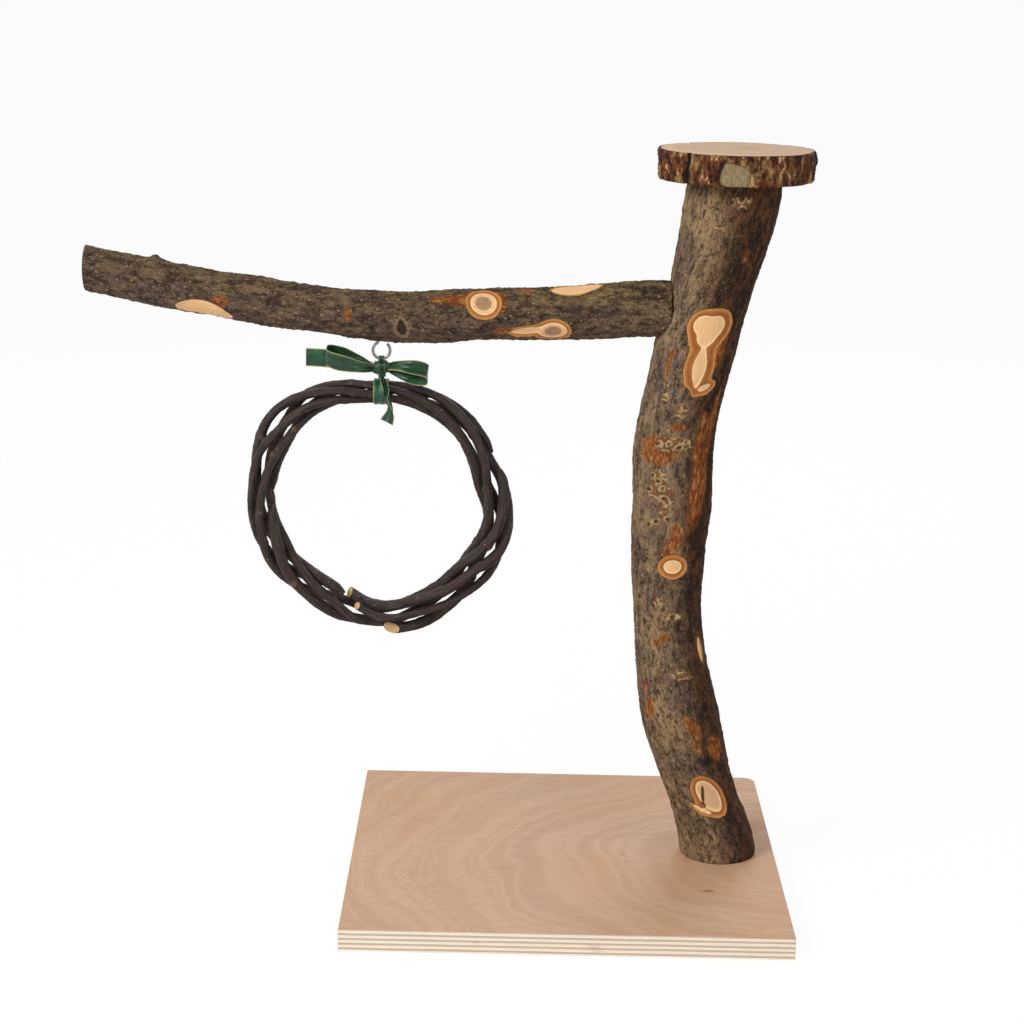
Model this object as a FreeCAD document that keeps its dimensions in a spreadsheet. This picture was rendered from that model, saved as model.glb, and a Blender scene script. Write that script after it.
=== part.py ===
import FreeCAD, Part
import math
import os
import Sketcher
from FreeCAD import Vector

# Parrot play stand: a plywood base, a barked branch as the post, a log slice as the
# platform, a barked branch as the perch, and a ring of twisted canes hung by a ribbon.
# Millimetres. X runs along the perch (the perch points to -X), Y away from the viewer,
# Z up. The origin is the middle of the base board's underside.

SIZES = {
    # base board
    "board_length": 300.0,
    "board_width": 300.0,
    "board_thickness": 15.0,
    "board_corner": 9.0,
    "board_edge": 0.6,
    # post
    "post_foot_place": 110.0,
    "post_length": 478.0,
    "post_diameter": 54.0,
    "seat_depth": 1.6,
    "seat_height": 38.5,
    # platform
    "platform_diameter": 107.0,
    "platform_thickness": 20.0,
    # perch
    "perch_length": 391.0,
    "perch_diameter": 34.0,
    "perch_tip_slant": 2.0,
    # screw eye in the underside of the perch
    "eye_from_seat": 193.8,
    "eye_diameter": 11.6,
    "eye_wire": 2.0,
    "eye_neck_radius": 2.0,
    "eye_shank_length": 18.0,
    # ribbon
    "ribbon_width": 12.5,
    "ribbon_thickness": 0.6,
    "knot_width": 9.0,
    "knot_depth": 8.0,
    "knot_height": 6.7,
    "knot_rounding": 2.0,
    "knot_slack": 0.35,
    "eye_loop_width": 4.0,
    "eye_loop_slack": 0.2,
    "left_loop_length": 33.0,
    "right_loop_length": 28.0,
    "left_tail_length": 46.0,
    "neck_width": 4.4,
    "neck_depth": 2.4,
    "wrap_width": 10.0,
    "front_tail_drop": 30.0,
    # ring of canes
    "ring_diameter": 160.6,
    "cane_thickness": 7.9,
    "cane_thickness_at_wrap": 5.8,
    "bundle_radial": 7.5,
    "bundle_sideways": 7.6,
    "bundle_radial_at_wrap": 5.2,
    "bundle_sideways_at_wrap": 5.8,
    # fasteners
    "screw_diameter": 4.5,
    "screw_head_diameter": 9.0,
    "screw_length": 55.0,
    "screw_circle_diameter": 28.0,
    "screw_head_recess": 0.5,
    "screw_pitch": 2.2,
    "dowel_diameter": 10.0,
    "dowel_length": 36.0,
    "dowel_deeper_in_post": 5.0,
    "dowel_chamfer": 1.0,
    "bolt_diameter": 7.0,
    "bolt_length": 80.0,
    "bolt_plain_length": 12.0,
    "bolt_pitch": 2.8,
    # clearances
    "bore_clearance": 0.04,
    "bore_end_clearance": 0.5,
    "soft_clearance": 0.3,
}

# How the post grows: share of its length, drift of its middle from the foot along X,
# and swell of its diameter. The station at JOINT_SHARE carries the perch.
JOINT_SHARE = 0.815
POST_COURSE = [
    (0.0, 0.0, 0.985),
    (0.09, -12.5, 0.925),
    (0.19, -27.5, 1.02),
    (0.28, -36.5, 0.955),
    (0.37, -42.0, 0.87),
    (0.46, -43.0, 0.95),
    (0.54, -41.5, 1.01),
    (0.63, -41.5, 1.01),
    (0.72, -34.0, 1.015),
    (JOINT_SHARE, -24.5, 1.05),
    (0.89, -16.0, 1.11),
    (0.935, -11.5, 1.165),
    (1.0, -7.0, 1.155),
]

# How the perch grows from the post outwards: share of its length, rise of its middle
# above the joint, and swell of its diameter. The eye hangs at its own station.
PERCH_COURSE = [
    (-0.03, 0.5, 1.1),
    (0.045, -0.3, 1.11),
    (0.15, -3.2, 1.07),
    (0.26, -5.3, 1.015),
    (0.36, -7.2, 1.03),
    (0.46, -9.0, 1.02),
    (0.57, -6.0, 0.935),
    (0.67, -1.2, 0.94),
    (0.78, 5.0, 0.915),
    (0.86, 10.0, 0.915),
    (0.93, 15.0, 0.91),
    (1.0, 20.3, 0.905),
]

PLATFORM_COURSE = [(0.0, 0.982), (0.45, 1.0), (1.0, 0.99)]

EYE_OPEN_END = 50.0
EYE_NECK_START = 125.0
EYE_PROUD = 0.8

CANE_COUNT = 5
CANE_SECTIONS = 49
CANE_TURNS = 2
CANE_TWIST_CHANGE = 0.22
CANE_TWIST_WAVES = 3
CANE_SPAN = 352.0
CANE_STARTS = [249.0, 256.0, 272.0, 179.0, 28.0]
CANE_START_SWELL = [1.06, 0.72, 1.02, 1.04, 0.68]
CANE_END_SWELL = [0.72, 1.06, 0.84, 0.76, 1.0]
# the ring is no true circle: (waves round it, height in mm, turn in degrees)
RING_WAVES = [(1, 4.4, -105), (2, 2.7, 75), (3, 1.0, -87), (5, 1.6, 62)]
# an outer cane stands off from the others: (angle, gap in mm, half reach in degrees)
CANE_GAPS = [(141, 6.0, 16), (329, 4.8, 15), (247, 3.2, 12), (290, 3.6, 13), (14, 2.6, 12), (200, 1.6, 12)]
GAP_SHARED_INWARD = 0.6
OUTERMOST_FROM = 0.35
LOOP_STEPS = 18
LOOP_ROOT = -1.6
LOOP_ROOT_OUT = 0.9
LOOP_ROOT_GAP = 0.9
LOOP_SPREAD = 1.5
# how far each loop falls forwards, lifts, opens, and how its ribbon leans in degrees
LEFT_LOOP = {"fall": 6.0, "lift": 7.5, "opening": 2.6, "lean": -12}
RIGHT_LOOP = {"fall": 13.5, "lift": -1.0, "opening": 3.4, "lean": 70}
TAIL_STEPS = 8
TAIL_SPREAD = 1.9
TAIL_BACK = 1.2
TAIL_BACK_MORE = 1.4
TAIL_RISE = 5.4
GATHERED = 0.34

# The start of the front tail: offsets from the knot's front along X, forwards and up,
# and its width.
FRONT_TAIL_BEGIN = [(0.2, 0.7, 1.5, 4.2), (0.6, 1.9, -0.6, 4.4)]
# The front tail: offset along X from the knot, offset forwards, share of its drop, the
# way its width points, and its width.
FRONT_TAIL = [
    (2.0, 0.0, 0.0, (1, 0, 0), 4.6),
    (3.2, 0.2, 0.28, (1, 0, 0), 4.2),
    (5.2, 0.5, 0.52, (0.75, -0.66, 0), 4.0),
    (6.6, 1.0, 0.72, (0.8, -0.6, 0), 5.2),
    (5.4, 1.2, 1.0, (0.97, -0.2, 0.2), 9.5),
]
FRONT_TAIL_PROUD = 1.6
FRONT_TAIL_BELOW_PIVOT = 0.1
BEGIN_ABOVE_PIVOT = 0.6
WRAP_ANGLE = 90.0
WRAP_REACH = 34.0

doc = FreeCAD.newDocument("parrot_play_stand")
sheet = doc.addObject("Spreadsheet::Sheet", "sizes")
for row, (alias, value) in enumerate(SIZES.items(), start=1):
    sheet.set("A%d" % row, alias)
    sheet.set("B%d" % row, str(value))
    sheet.setAlias("B%d" % row, alias)
doc.recompute()

sub_parts = []


def size(alias):
    return float(getattr(sheet, alias))


def cell(alias):
    return "sizes." + alias


# ---------------------------------------------------------------- places

BOARD_TOP = cell("board_thickness")
JOINT_HEIGHT = "(%s + %g * %s)" % (BOARD_TOP, JOINT_SHARE, cell("post_length"))
POST_TOP = "(%s + %s)" % (BOARD_TOP, cell("post_length"))
JOINT_DRIFT, JOINT_SWELL = next((d, w) for s, d, w in POST_COURSE if s == JOINT_SHARE)
SEAT_PLACE = "(%s + %g - %g * %s + %s)" % (
    cell("post_foot_place"), JOINT_DRIFT, JOINT_SWELL / 2, cell("post_diameter"), cell("seat_depth"))
SEAT_LEAN = math.degrees(math.atan2(7.0, 37.0))
PLATFORM_PLACE = "(%s + %g)" % (cell("post_foot_place"), POST_COURSE[-1][1])


def joint_height():
    return size("board_thickness") + JOINT_SHARE * size("post_length")


def seat_place():
    post_radius = JOINT_SWELL * size("post_diameter") / 2
    return size("post_foot_place") + JOINT_DRIFT - post_radius + size("seat_depth")


def along(course, share):
    """Rise and swell of a course at a share of its length."""
    for (s0, d0, w0), (s1, d1, w1) in zip(course, course[1:]):
        if s0 <= share <= s1:
            part = (share - s0) / (s1 - s0)
            return d0 + part * (d1 - d0), w0 + part * (w1 - w0)
    raise ValueError("share outside the course")


# ---------------------------------------------------------------- features

def origin_plane(body, role):
    return next(f for f in body.Origin.OriginFeatures if f.Role == role)


def new_body(label):
    body = doc.addObject("PartDesign::Body", label)
    body.Label = label
    sub_parts.append(body)
    return body


def new_sketch(body, name, role, offset=("0", "0", "0")):
    sketch = body.newObject("Sketcher::SketchObject", name)
    sketch.AttachmentSupport = [(origin_plane(body, role), "")]
    sketch.MapMode = "FlatFace"
    for axis, expression in zip("xyz", offset):
        sketch.setExpression("AttachmentOffset.Base." + axis, expression)
    return sketch


def circle_sketch(body, name, role, offset, diameter):
    sketch = new_sketch(body, name, role, offset)
    circle = sketch.addGeometry(Part.Circle(Vector(0, 0, 0), Vector(0, 0, 1), 1.0))
    sketch.addConstraint(Sketcher.Constraint("Coincident", circle, 3, -1, 1))
    rule = sketch.addConstraint(Sketcher.Constraint("Diameter", circle, 2.0))
    sketch.setExpression("Constraints[%d]" % rule, diameter)
    return sketch


def polygon_sketch(body, name, role, corners):
    """A closed outline whose corners are held by expressions for their two coordinates."""
    sketch = new_sketch(body, name, role)
    count = len(corners)
    guess = [Vector(10 * math.cos(2 * math.pi * i / count), 10 * math.sin(2 * math.pi * i / count), 0)
             for i in range(count)]
    lines = [sketch.addGeometry(Part.LineSegment(guess[i], guess[(i + 1) % count])) for i in range(count)]
    for i in range(count):
        sketch.addConstraint(Sketcher.Constraint("Coincident", lines[i], 2, lines[(i + 1) % count], 1))
    for line, (across, up) in zip(lines, corners):
        for kind, expression in (("DistanceX", across), ("DistanceY", up)):
            rule = sketch.addConstraint(Sketcher.Constraint(kind, -1, 1, line, 1, 1.0))
            sketch.setExpression("Constraints[%d]" % rule, expression)
    return sketch


def limb(label, role, stations):
    """A grown limb: a loft through round sections at (offset, diameter) stations."""
    body = new_body(label)
    sections = [circle_sketch(body, "%s_section_%d" % (label, i), role, offset, diameter)
                for i, (offset, diameter) in enumerate(stations)]
    doc.recompute()
    loft = body.newObject("PartDesign::AdditiveLoft", label + "_loft")
    loft.Profile = sections[0]
    loft.Sections = sections[1:]
    doc.recompute()
    return body


def cut(body, feature, **settings):
    """Sets up a subtractive feature and makes sure that it takes material away."""
    before = body.Shape.Volume
    for name, value in settings.items():
        setattr(feature, name, value)
    doc.recompute()
    if body.Shape.Volume >= before - 1e-3:
        raise RuntimeError(feature.Name + " cuts nothing")
    return feature


def bore(body, name, role, offset, diameter, depth, reverse):
    """A blind round hole that starts at the offset plane."""
    sketch = circle_sketch(body, name + "_sketch", role, offset, diameter)
    doc.recompute()
    pocket = body.newObject("PartDesign::Pocket", name)
    pocket.setExpression("Length", depth)
    return cut(body, pocket, Profile=sketch, Reversed=reverse)


def notch(body, name, corners):
    """Saws away everything inside an outline in the XZ plane, right through along Y."""
    sketch = polygon_sketch(body, name + "_sketch", "XZ_Plane", corners)
    doc.recompute()
    pocket = body.newObject("PartDesign::Pocket", name)
    return cut(body, pocket, Profile=sketch, Type="ThroughAll", Midplane=True)


def shape_part(label, shape):
    feature = doc.addObject("Part::Feature", label)
    feature.Label = label
    feature.Shape = shape
    feature.Placement = shape.Placement
    sub_parts.append(feature)
    return feature


# ---------------------------------------------------------------- base board

def screw_places():
    """Middles of the three base screws, on a circle about the post's foot."""
    radius = size("screw_circle_diameter") / 2
    return [Vector(size("post_foot_place") + radius * math.cos(math.radians(angle)),
                   radius * math.sin(math.radians(angle)), 0)
            for angle in (0, 120, 240)]


def make_board():
    body = new_body("base_board")
    half_x = cell("board_length") + " / 2"
    half_y = cell("board_width") + " / 2"
    outline = polygon_sketch(body, "board_outline", "XY_Plane",
                             [("-" + half_x, "-" + half_y), (half_x, "-" + half_y),
                              (half_x, half_y), ("-" + half_x, half_y)])
    doc.recompute()
    pad = body.newObject("PartDesign::Pad", "board_pad")
    pad.Profile = outline
    pad.setExpression("Length", BOARD_TOP)
    doc.recompute()

    def edges(test):
        return ["Edge%d" % (i + 1) for i, edge in enumerate(body.Shape.Edges) if test(edge)]

    def is_worn_corner(edge):
        box = edge.BoundBox
        return box.ZLength > 1 and box.XMin > 0 and box.YMin > 0

    corner = body.newObject("PartDesign::Fillet", "board_worn_corner")
    corner.Base = (pad, edges(is_worn_corner))
    corner.setExpression("Radius", cell("board_corner"))
    doc.recompute()
    top = size("board_thickness")
    eased = body.newObject("PartDesign::Fillet", "board_eased_top")
    eased.Base = (corner, edges(lambda edge: edge.BoundBox.ZMin > top - 1e-3))
    eased.setExpression("Radius", cell("board_edge"))
    doc.recompute()

    # countersunk holes from the underside, one turned copy for each screw
    hole_sketch = new_sketch(body, "screw_hole_sketch", "XY_Plane", (cell("post_foot_place"), "0", "0"))
    circle = hole_sketch.addGeometry(Part.Circle(Vector(14, 0, 0), Vector(0, 0, 1), 2.0))
    hole_sketch.addConstraint(Sketcher.Constraint("PointOnObject", circle, 3, -1))
    rule = hole_sketch.addConstraint(Sketcher.Constraint("DistanceX", -1, 1, circle, 3, 14.0))
    hole_sketch.setExpression("Constraints[%d]" % rule, cell("screw_circle_diameter") + " / 2")
    doc.recompute()
    hole = body.newObject("PartDesign::Hole", "screw_hole")
    hole.Profile = hole_sketch
    doc.recompute()
    hole.setExpression("Diameter", "%s + 2 * %s" % (cell("screw_diameter"), cell("bore_clearance")))
    cut(body, hole, DepthType="ThroughAll", Reversed=True, HoleCutType="Countersink",
        HoleCutCountersinkAngle=90)
    hole.setExpression("HoleCutDiameter", "%s + 2 * (%s + %s)" % (
        cell("screw_head_diameter"), cell("bore_clearance"), cell("screw_head_recess")))
    doc.recompute()
    ring = body.newObject("PartDesign::PolarPattern", "screw_holes")
    ring.Originals = [hole]
    ring.Axis = (hole_sketch, ["N_Axis"])
    ring.Angle = 360
    ring.Occurrences = 3
    body.Tip = ring
    doc.recompute()


# ---------------------------------------------------------------- post and platform

def make_post():
    stations = []
    for share, drift, swell in POST_COURSE:
        offset = ("%s + %g" % (cell("post_foot_place"), drift), "0",
                  "%s + %g * %s" % (BOARD_TOP, share, cell("post_length")))
        stations.append((offset, "%g * %s" % (swell, cell("post_diameter"))))
    body = limb("post", "XY_Plane", stations)

    # the sawn seat that the perch's end stands against leans with the post
    lean = "%.6f" % math.tan(math.radians(SEAT_LEAN))
    half = cell("seat_height") + " / 2"
    far = cell("post_diameter")
    notch(body, "perch_seat", [
        ("%s - %s" % (SEAT_PLACE, far), "%s - %s" % (JOINT_HEIGHT, half)),
        ("%s - %s * %s" % (SEAT_PLACE, lean, half), "%s - %s" % (JOINT_HEIGHT, half)),
        ("%s + %s * %s" % (SEAT_PLACE, lean, half), "%s + %s" % (JOINT_HEIGHT, half)),
        ("%s - %s" % (SEAT_PLACE, far), "%s + %s" % (JOINT_HEIGHT, half))])

    pilot = "%s + 2 * %s" % (cell("screw_diameter"), cell("bore_clearance"))
    depth = "%s + %s + %s - %s" % (cell("screw_length"), cell("screw_head_recess"),
                                   cell("bore_end_clearance"), BOARD_TOP)
    for i, place in enumerate(screw_places()):
        radius = cell("screw_circle_diameter") + " / 2"
        angle = 120 * i
        offset = ("%s + %s * cos(%d)" % (cell("post_foot_place"), radius, angle),
                  "%s * sin(%d)" % (radius, angle), BOARD_TOP)
        bore(body, "screw_pilot_%d" % (i + 1), "XY_Plane", offset, pilot, depth, True)
    bore(body, "post_dowel_bore", "XY_Plane", (PLATFORM_PLACE, "0", POST_TOP),
         "%s + 2 * %s" % (cell("dowel_diameter"), cell("bore_clearance")),
         "(%s / 2 + %s + %s)" % (cell("dowel_length"), cell("bore_end_clearance") + " / 2",
                               cell("dowel_deeper_in_post")), False)
    bore(body, "post_bolt_bore", "YZ_Plane",
         ("0", JOINT_HEIGHT, "%s - %s" % (SEAT_PLACE, cell("seat_height"))),
         "%s + 2 * %s" % (cell("bolt_diameter"), cell("bore_clearance")),
         "%s + %s / 2 + %s" % (cell("seat_height"), cell("bolt_length"), cell("bore_end_clearance")), True)


def make_platform():
    stations = [((PLATFORM_PLACE, "0", "%s + %g * %s" % (POST_TOP, share, cell("platform_thickness"))),
                 "%g * %s" % (swell, cell("platform_diameter"))) for share, swell in PLATFORM_COURSE]
    body = limb("platform", "XY_Plane", stations)
    bore(body, "platform_dowel_bore", "XY_Plane", (PLATFORM_PLACE, "0", POST_TOP),
         "%s + 2 * %s" % (cell("dowel_diameter"), cell("bore_clearance")),
         "%s / 2 - %s + %s" % (cell("dowel_length"), cell("dowel_deeper_in_post"),
                               cell("bore_end_clearance")), True)


# ---------------------------------------------------------------- perch

def eye_share():
    return size("eye_from_seat") / size("perch_length")


def perch_underside():
    """Height of the perch's underside where the screw eye goes in."""
    rise, swell = along(PERCH_COURSE, eye_share())
    return joint_height() + rise - swell * size("perch_diameter") / 2


def make_perch():
    stations = []
    for share, rise, swell in PERCH_COURSE:
        offset = ("0", "%s + %g" % (JOINT_HEIGHT, rise),
                  "%s - %g * %s" % (SEAT_PLACE, share, cell("perch_length")))
        stations.append((offset, "%g * %s" % (swell, cell("perch_diameter"))))
    body = limb("perch", "YZ_Plane", stations)

    # the end is sawn to the same lean as the seat in the post
    lean = "%.6f" % math.tan(math.radians(SEAT_LEAN))
    tall = cell("perch_diameter")
    notch(body, "perch_end_cut", [
        ("%s - %s * %s" % (SEAT_PLACE, lean, tall), "%s - %s" % (JOINT_HEIGHT, tall)),
        ("%s + 2 * %s" % (SEAT_PLACE, tall), "%s - %s" % (JOINT_HEIGHT, tall)),
        ("%s + 2 * %s" % (SEAT_PLACE, tall), "%s + %s" % (JOINT_HEIGHT, tall)),
        ("%s + %s * %s" % (SEAT_PLACE, lean, tall), "%s + %s" % (JOINT_HEIGHT, tall))])
    bore(body, "perch_bolt_bore", "YZ_Plane",
         ("0", JOINT_HEIGHT, "%s + %s" % (SEAT_PLACE, cell("seat_height"))),
         "%s + 2 * %s" % (cell("bolt_diameter"), cell("bore_clearance")),
         "%s + %s / 2 + %s" % (cell("seat_height"), cell("bolt_length"), cell("bore_end_clearance")), False)
    bore(body, "eye_pilot", "XY_Plane",
         ("%s - %s" % (SEAT_PLACE, cell("eye_from_seat")), "0",
          "%g + %s + %s" % (perch_underside(), cell("eye_shank_length"), cell("bore_end_clearance"))),
         "%s + 2 * %s" % (cell("eye_wire"), cell("bore_clearance")),
         "%s + %s + %s" % (cell("eye_shank_length"), cell("bore_end_clearance"), cell("eye_diameter")), False)


# ---------------------------------------------------------------- screw eye

def eye_layout():
    """Middle of the eye's ring, the end of its arc, and the shank's lower end."""
    ring = size("eye_diameter") / 2
    bend = size("eye_neck_radius")
    heading = math.radians(EYE_NECK_START - 90)
    shank_low = Vector(seat_place() - size("eye_from_seat"), 0, perch_underside() - EYE_PROUD)
    bend_middle = shank_low - Vector(bend, 0, 0)
    arc_end = bend_middle + Vector(bend * math.sin(heading), 0, -bend * math.cos(heading))
    middle = arc_end + Vector(ring * math.sin(heading), 0, -ring * math.cos(heading))
    return middle, arc_end, bend_middle, shank_low


def eye_bottom():
    """Middle of the wire at the lowest place of the eye: the ring swings about it."""
    return eye_layout()[0] - Vector(0, 0, size("eye_diameter") / 2)


def make_screw_eye():
    middle, arc_end, bend_middle, shank_low = eye_layout()
    ring = size("eye_diameter") / 2
    bend = size("eye_neck_radius")
    wire = size("eye_wire") / 2

    def on_ring(angle):
        return middle + Vector(ring * math.cos(math.radians(angle)), 0, ring * math.sin(math.radians(angle)))

    turn = (EYE_NECK_START - 90) / 2
    bend_side = bend_middle + Vector(bend * math.cos(math.radians(-turn - 10)), 0,
                                     bend * math.sin(math.radians(-turn - 10)))
    path = Part.Wire([
        Part.Arc(on_ring(EYE_OPEN_END), on_ring(-90), on_ring(EYE_NECK_START - 360)).toShape(),
        Part.Arc(arc_end, bend_side, shank_low).toShape(),
        Part.LineSegment(shank_low, shank_low + Vector(0, 0, size("eye_shank_length") - 2 * wire)).toShape()])
    top = path.Vertexes[-1].Point
    section = Part.Wire(Part.Circle(top, Vector(0, 0, 1), wire).toShape())
    pipe = path.makePipeShell([section], True, False)
    point = Part.makeCone(wire, 0.2 * wire, 2 * wire, top, Vector(0, 0, 1))
    shape_part("screw_eye", pipe.fuse(point).removeSplitter())


# ---------------------------------------------------------------- ribbon

def strip(label, stations):
    """A ribbon: a loft through flat sections given as (middle, width direction, width)."""
    thickness = size("ribbon_thickness")
    wires = []
    for i, (middle, across, width) in enumerate(stations):
        before = stations[max(i - 1, 0)][0]
        after = stations[min(i + 1, len(stations) - 1)][0]
        tangent = (after - before).normalize()
        side = (across - tangent * across.dot(tangent)).normalize()
        normal = tangent.cross(side)
        corners = [middle + side * (a * width / 2) + normal * (b * thickness / 2)
                   for a, b in ((-1, -1), (1, -1), (1, 1), (-1, 1))]
        wires.append(Part.makePolygon(corners + corners[:1]))
    return shape_part(label, Part.makeLoft(wires, True, True))


def knot_middle():
    pivot = eye_bottom()
    gap = size("eye_wire") / 2 + 2 * size("soft_clearance") + size("ribbon_thickness") + size("knot_slack")
    return pivot - Vector(0, 0, gap + size("knot_height") / 2)


def sway_pivot():
    """The neck's round top turns about this point under the knot."""
    low = knot_middle().z - size("knot_height") / 2
    return Vector(knot_middle().x, 0, low - size("soft_clearance") - size("neck_width") / 2)


def wrap_top():
    return sway_pivot().z - size("neck_width") / 2 + size("soft_clearance")


def bow_loop(label, side, length, fall, lift, opening, lean):
    """One loop of the bow, out from the knot and back in a teardrop.

    side is -1 for the left loop and 1 for the right one; fall is how far the loop's end
    stands towards the viewer, lift how far it rises; opening parts its two layers; lean
    tips the ribbon's width from upright (0) towards lying flat (90).
    """
    knot = knot_middle()
    full = size("ribbon_width")
    tilt = math.radians(lean)
    across = Vector(0, math.sin(tilt), math.cos(tilt))
    apart = Vector(0, -math.cos(tilt), math.sin(tilt))
    stations = []
    for i in range(LOOP_STEPS + 1):
        u = i / LOOP_STEPS
        out = math.sin(math.pi * u)
        middle = knot + Vector(side * (size("knot_width") / 2 + LOOP_ROOT_OUT + length * out),
                               LOOP_ROOT - fall * out, lift * out)
        middle += apart * (opening * math.sin(2 * math.pi * u) + LOOP_ROOT_GAP * math.cos(math.pi * u))
        width = full * (GATHERED + (1 - GATHERED) * min(1.0, LOOP_SPREAD * out))
        stations.append((middle, across, width))
    return strip(label, stations)


def make_ribbon():
    thickness = size("ribbon_thickness")
    soft = size("soft_clearance")
    knot = knot_middle()
    pivot = eye_bottom()

    # the loop that goes through the screw eye and round its wire
    inner = size("eye_wire") / 2 + 2 * soft + size("eye_loop_slack")
    band = size("eye_loop_width")
    start = pivot - Vector(band / 2, 0, 0)
    ring = Part.makeCylinder(inner + thickness, band, start, Vector(1, 0, 0))
    shape_part("ribbon_eye_loop", ring.cut(Part.makeCylinder(inner, band, start, Vector(1, 0, 0))))

    half = Vector(size("knot_width") / 2, size("knot_depth") / 2, size("knot_height") / 2)
    block = Part.makeBox(2 * half.x, 2 * half.y, 2 * half.z, knot - half)
    shape_part("bow_knot", block.makeFillet(size("knot_rounding"), block.Edges))

    bow_loop("bow_loop_left", -1, size("left_loop_length"), **LEFT_LOOP)
    bow_loop("bow_loop_right", 1, size("right_loop_length"), **RIGHT_LOOP)

    # the left tail runs out behind the left loop
    tail = []
    for i in range(TAIL_STEPS + 1):
        out = i / TAIL_STEPS
        middle = knot + Vector(-half.x - LOOP_ROOT_OUT - size("left_tail_length") * out,
                               TAIL_BACK + TAIL_BACK_MORE * out,
                               TAIL_RISE * math.sin(math.pi / 2 * out) ** 0.8)
        width = size("ribbon_width") * (GATHERED + (1 - GATHERED) * min(1.0, TAIL_SPREAD * out))
        tail.append((middle, Vector(0, 0, 1), width))
    strip("bow_tail_left", tail)

    # the start of the front tail leaves the knot forwards
    wrap_front = -(bundle_sideways_at(WRAP_ANGLE) + cane_radius(0, WRAP_ANGLE) + soft + thickness)
    low = sway_pivot().z + BEGIN_ABOVE_PIVOT
    begin = [(knot + Vector(right, -half.y - forward, up), Vector(1, 0, 0), width)
             for right, forward, up, width in FRONT_TAIL_BEGIN]
    begin += [(Vector(knot.x + 1.2, wrap_front - 0.2, low + 2.0), Vector(1, 0, 0), 4.6),
              (Vector(knot.x + 1.6, wrap_front - 0.7, low), Vector(1, 0, 0), 4.6)]
    strip("bow_tail_start", begin)

    # neck between the knot and the wrap: round on top, so that it sways under the knot
    sway = sway_pivot()
    reach = size("neck_width") / 2
    deep = size("neck_depth")
    disc = Part.makeCylinder(reach, deep, sway - Vector(0, deep / 2, 0), Vector(0, 1, 0))
    low_box = Part.makeBox(2 * reach, deep, reach - soft - soft,
                           sway - Vector(reach, deep / 2, reach - soft - soft))
    keep = Part.makeBox(2 * reach, deep, 2 * reach - 2 * soft,
                        sway - Vector(reach, deep / 2, reach - 2 * soft))
    shape_part("ribbon_neck", disc.fuse(low_box).common(keep).removeSplitter())


# ---------------------------------------------------------------- ring of canes

def ring_middle():
    """The ring hangs straight under the knot."""
    top = wrap_top() - size("ribbon_thickness") - size("soft_clearance") - bundle_radial_at(WRAP_ANGLE) \
        - cane_radius(0, WRAP_ANGLE)
    return Vector(knot_middle().x, 0, top - ring_radius(WRAP_ANGLE))


def pinch(angle):
    """1 where the ribbon wrap gathers the canes, 0 well away from it."""
    away = (angle - WRAP_ANGLE + 180) % 360 - 180
    return math.exp(-(away / WRAP_REACH) ** 2)


def ring_radius(angle):
    radius = size("ring_diameter") / 2
    for waves, height, turn in RING_WAVES:
        radius += height * math.cos(math.radians(waves * angle + turn))
    return radius


def bundle_radial_at(angle):
    loose, tied = size("bundle_radial"), size("bundle_radial_at_wrap")
    return loose - (loose - tied) * pinch(angle)


def bundle_sideways_at(angle):
    loose, tied = size("bundle_sideways"), size("bundle_sideways_at_wrap")
    return loose - (loose - tied) * pinch(angle)


def cane_radius(index, angle):
    """Each cane tapers from its start to its end."""
    share = (angle - CANE_STARTS[index]) / CANE_SPAN
    swell = CANE_START_SWELL[index] + (CANE_END_SWELL[index] - CANE_START_SWELL[index]) * share
    side = size("cane_thickness") / 2 * swell
    return side - (side - size("cane_thickness_at_wrap") / 2) * pinch(angle)


def standoff(angle, outwardness):
    """How far a cane stands out from the bundle, or in where another cane stands out."""
    share = max(0.0, (outwardness - OUTERMOST_FROM) / (1 - OUTERMOST_FROM))
    share = share * share * (3 - 2 * share)
    gap = 0.0
    for place, height, reach in CANE_GAPS:
        away = (angle - place + 180) % 360 - 180
        gap += height * math.exp(-(away / reach) ** 2)
    return gap * (share - GAP_SHARED_INWARD) * (1 - pinch(angle))


def cane_middle(index, angle, middle):
    turn = math.radians(angle)
    phase = math.radians(360.0 * index / CANE_COUNT) + CANE_TURNS * turn \
        + CANE_TWIST_CHANGE * math.sin(CANE_TWIST_WAVES * turn + 1)
    outwardness = math.cos(phase)
    radius = ring_radius(angle) + bundle_radial_at(angle) * outwardness + standoff(angle, outwardness)
    return middle + Vector(radius * math.cos(turn), bundle_sideways_at(angle) * math.sin(phase),
                           radius * math.sin(turn))


def make_canes():
    middle = ring_middle()
    for index in range(CANE_COUNT):
        wires = []
        for step in range(CANE_SECTIONS):
            angle = CANE_STARTS[index] + CANE_SPAN * step / (CANE_SECTIONS - 1)
            ahead = cane_middle(index, angle + 0.1, middle)
            behind = cane_middle(index, angle - 0.1, middle)
            here = cane_middle(index, angle, middle)
            wires.append(Part.Wire(Part.Circle(here, ahead - behind, cane_radius(index, angle)).toShape()))
        shape_part("cane_%d" % (index + 1), Part.makeLoft(wires, True, False))


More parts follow.
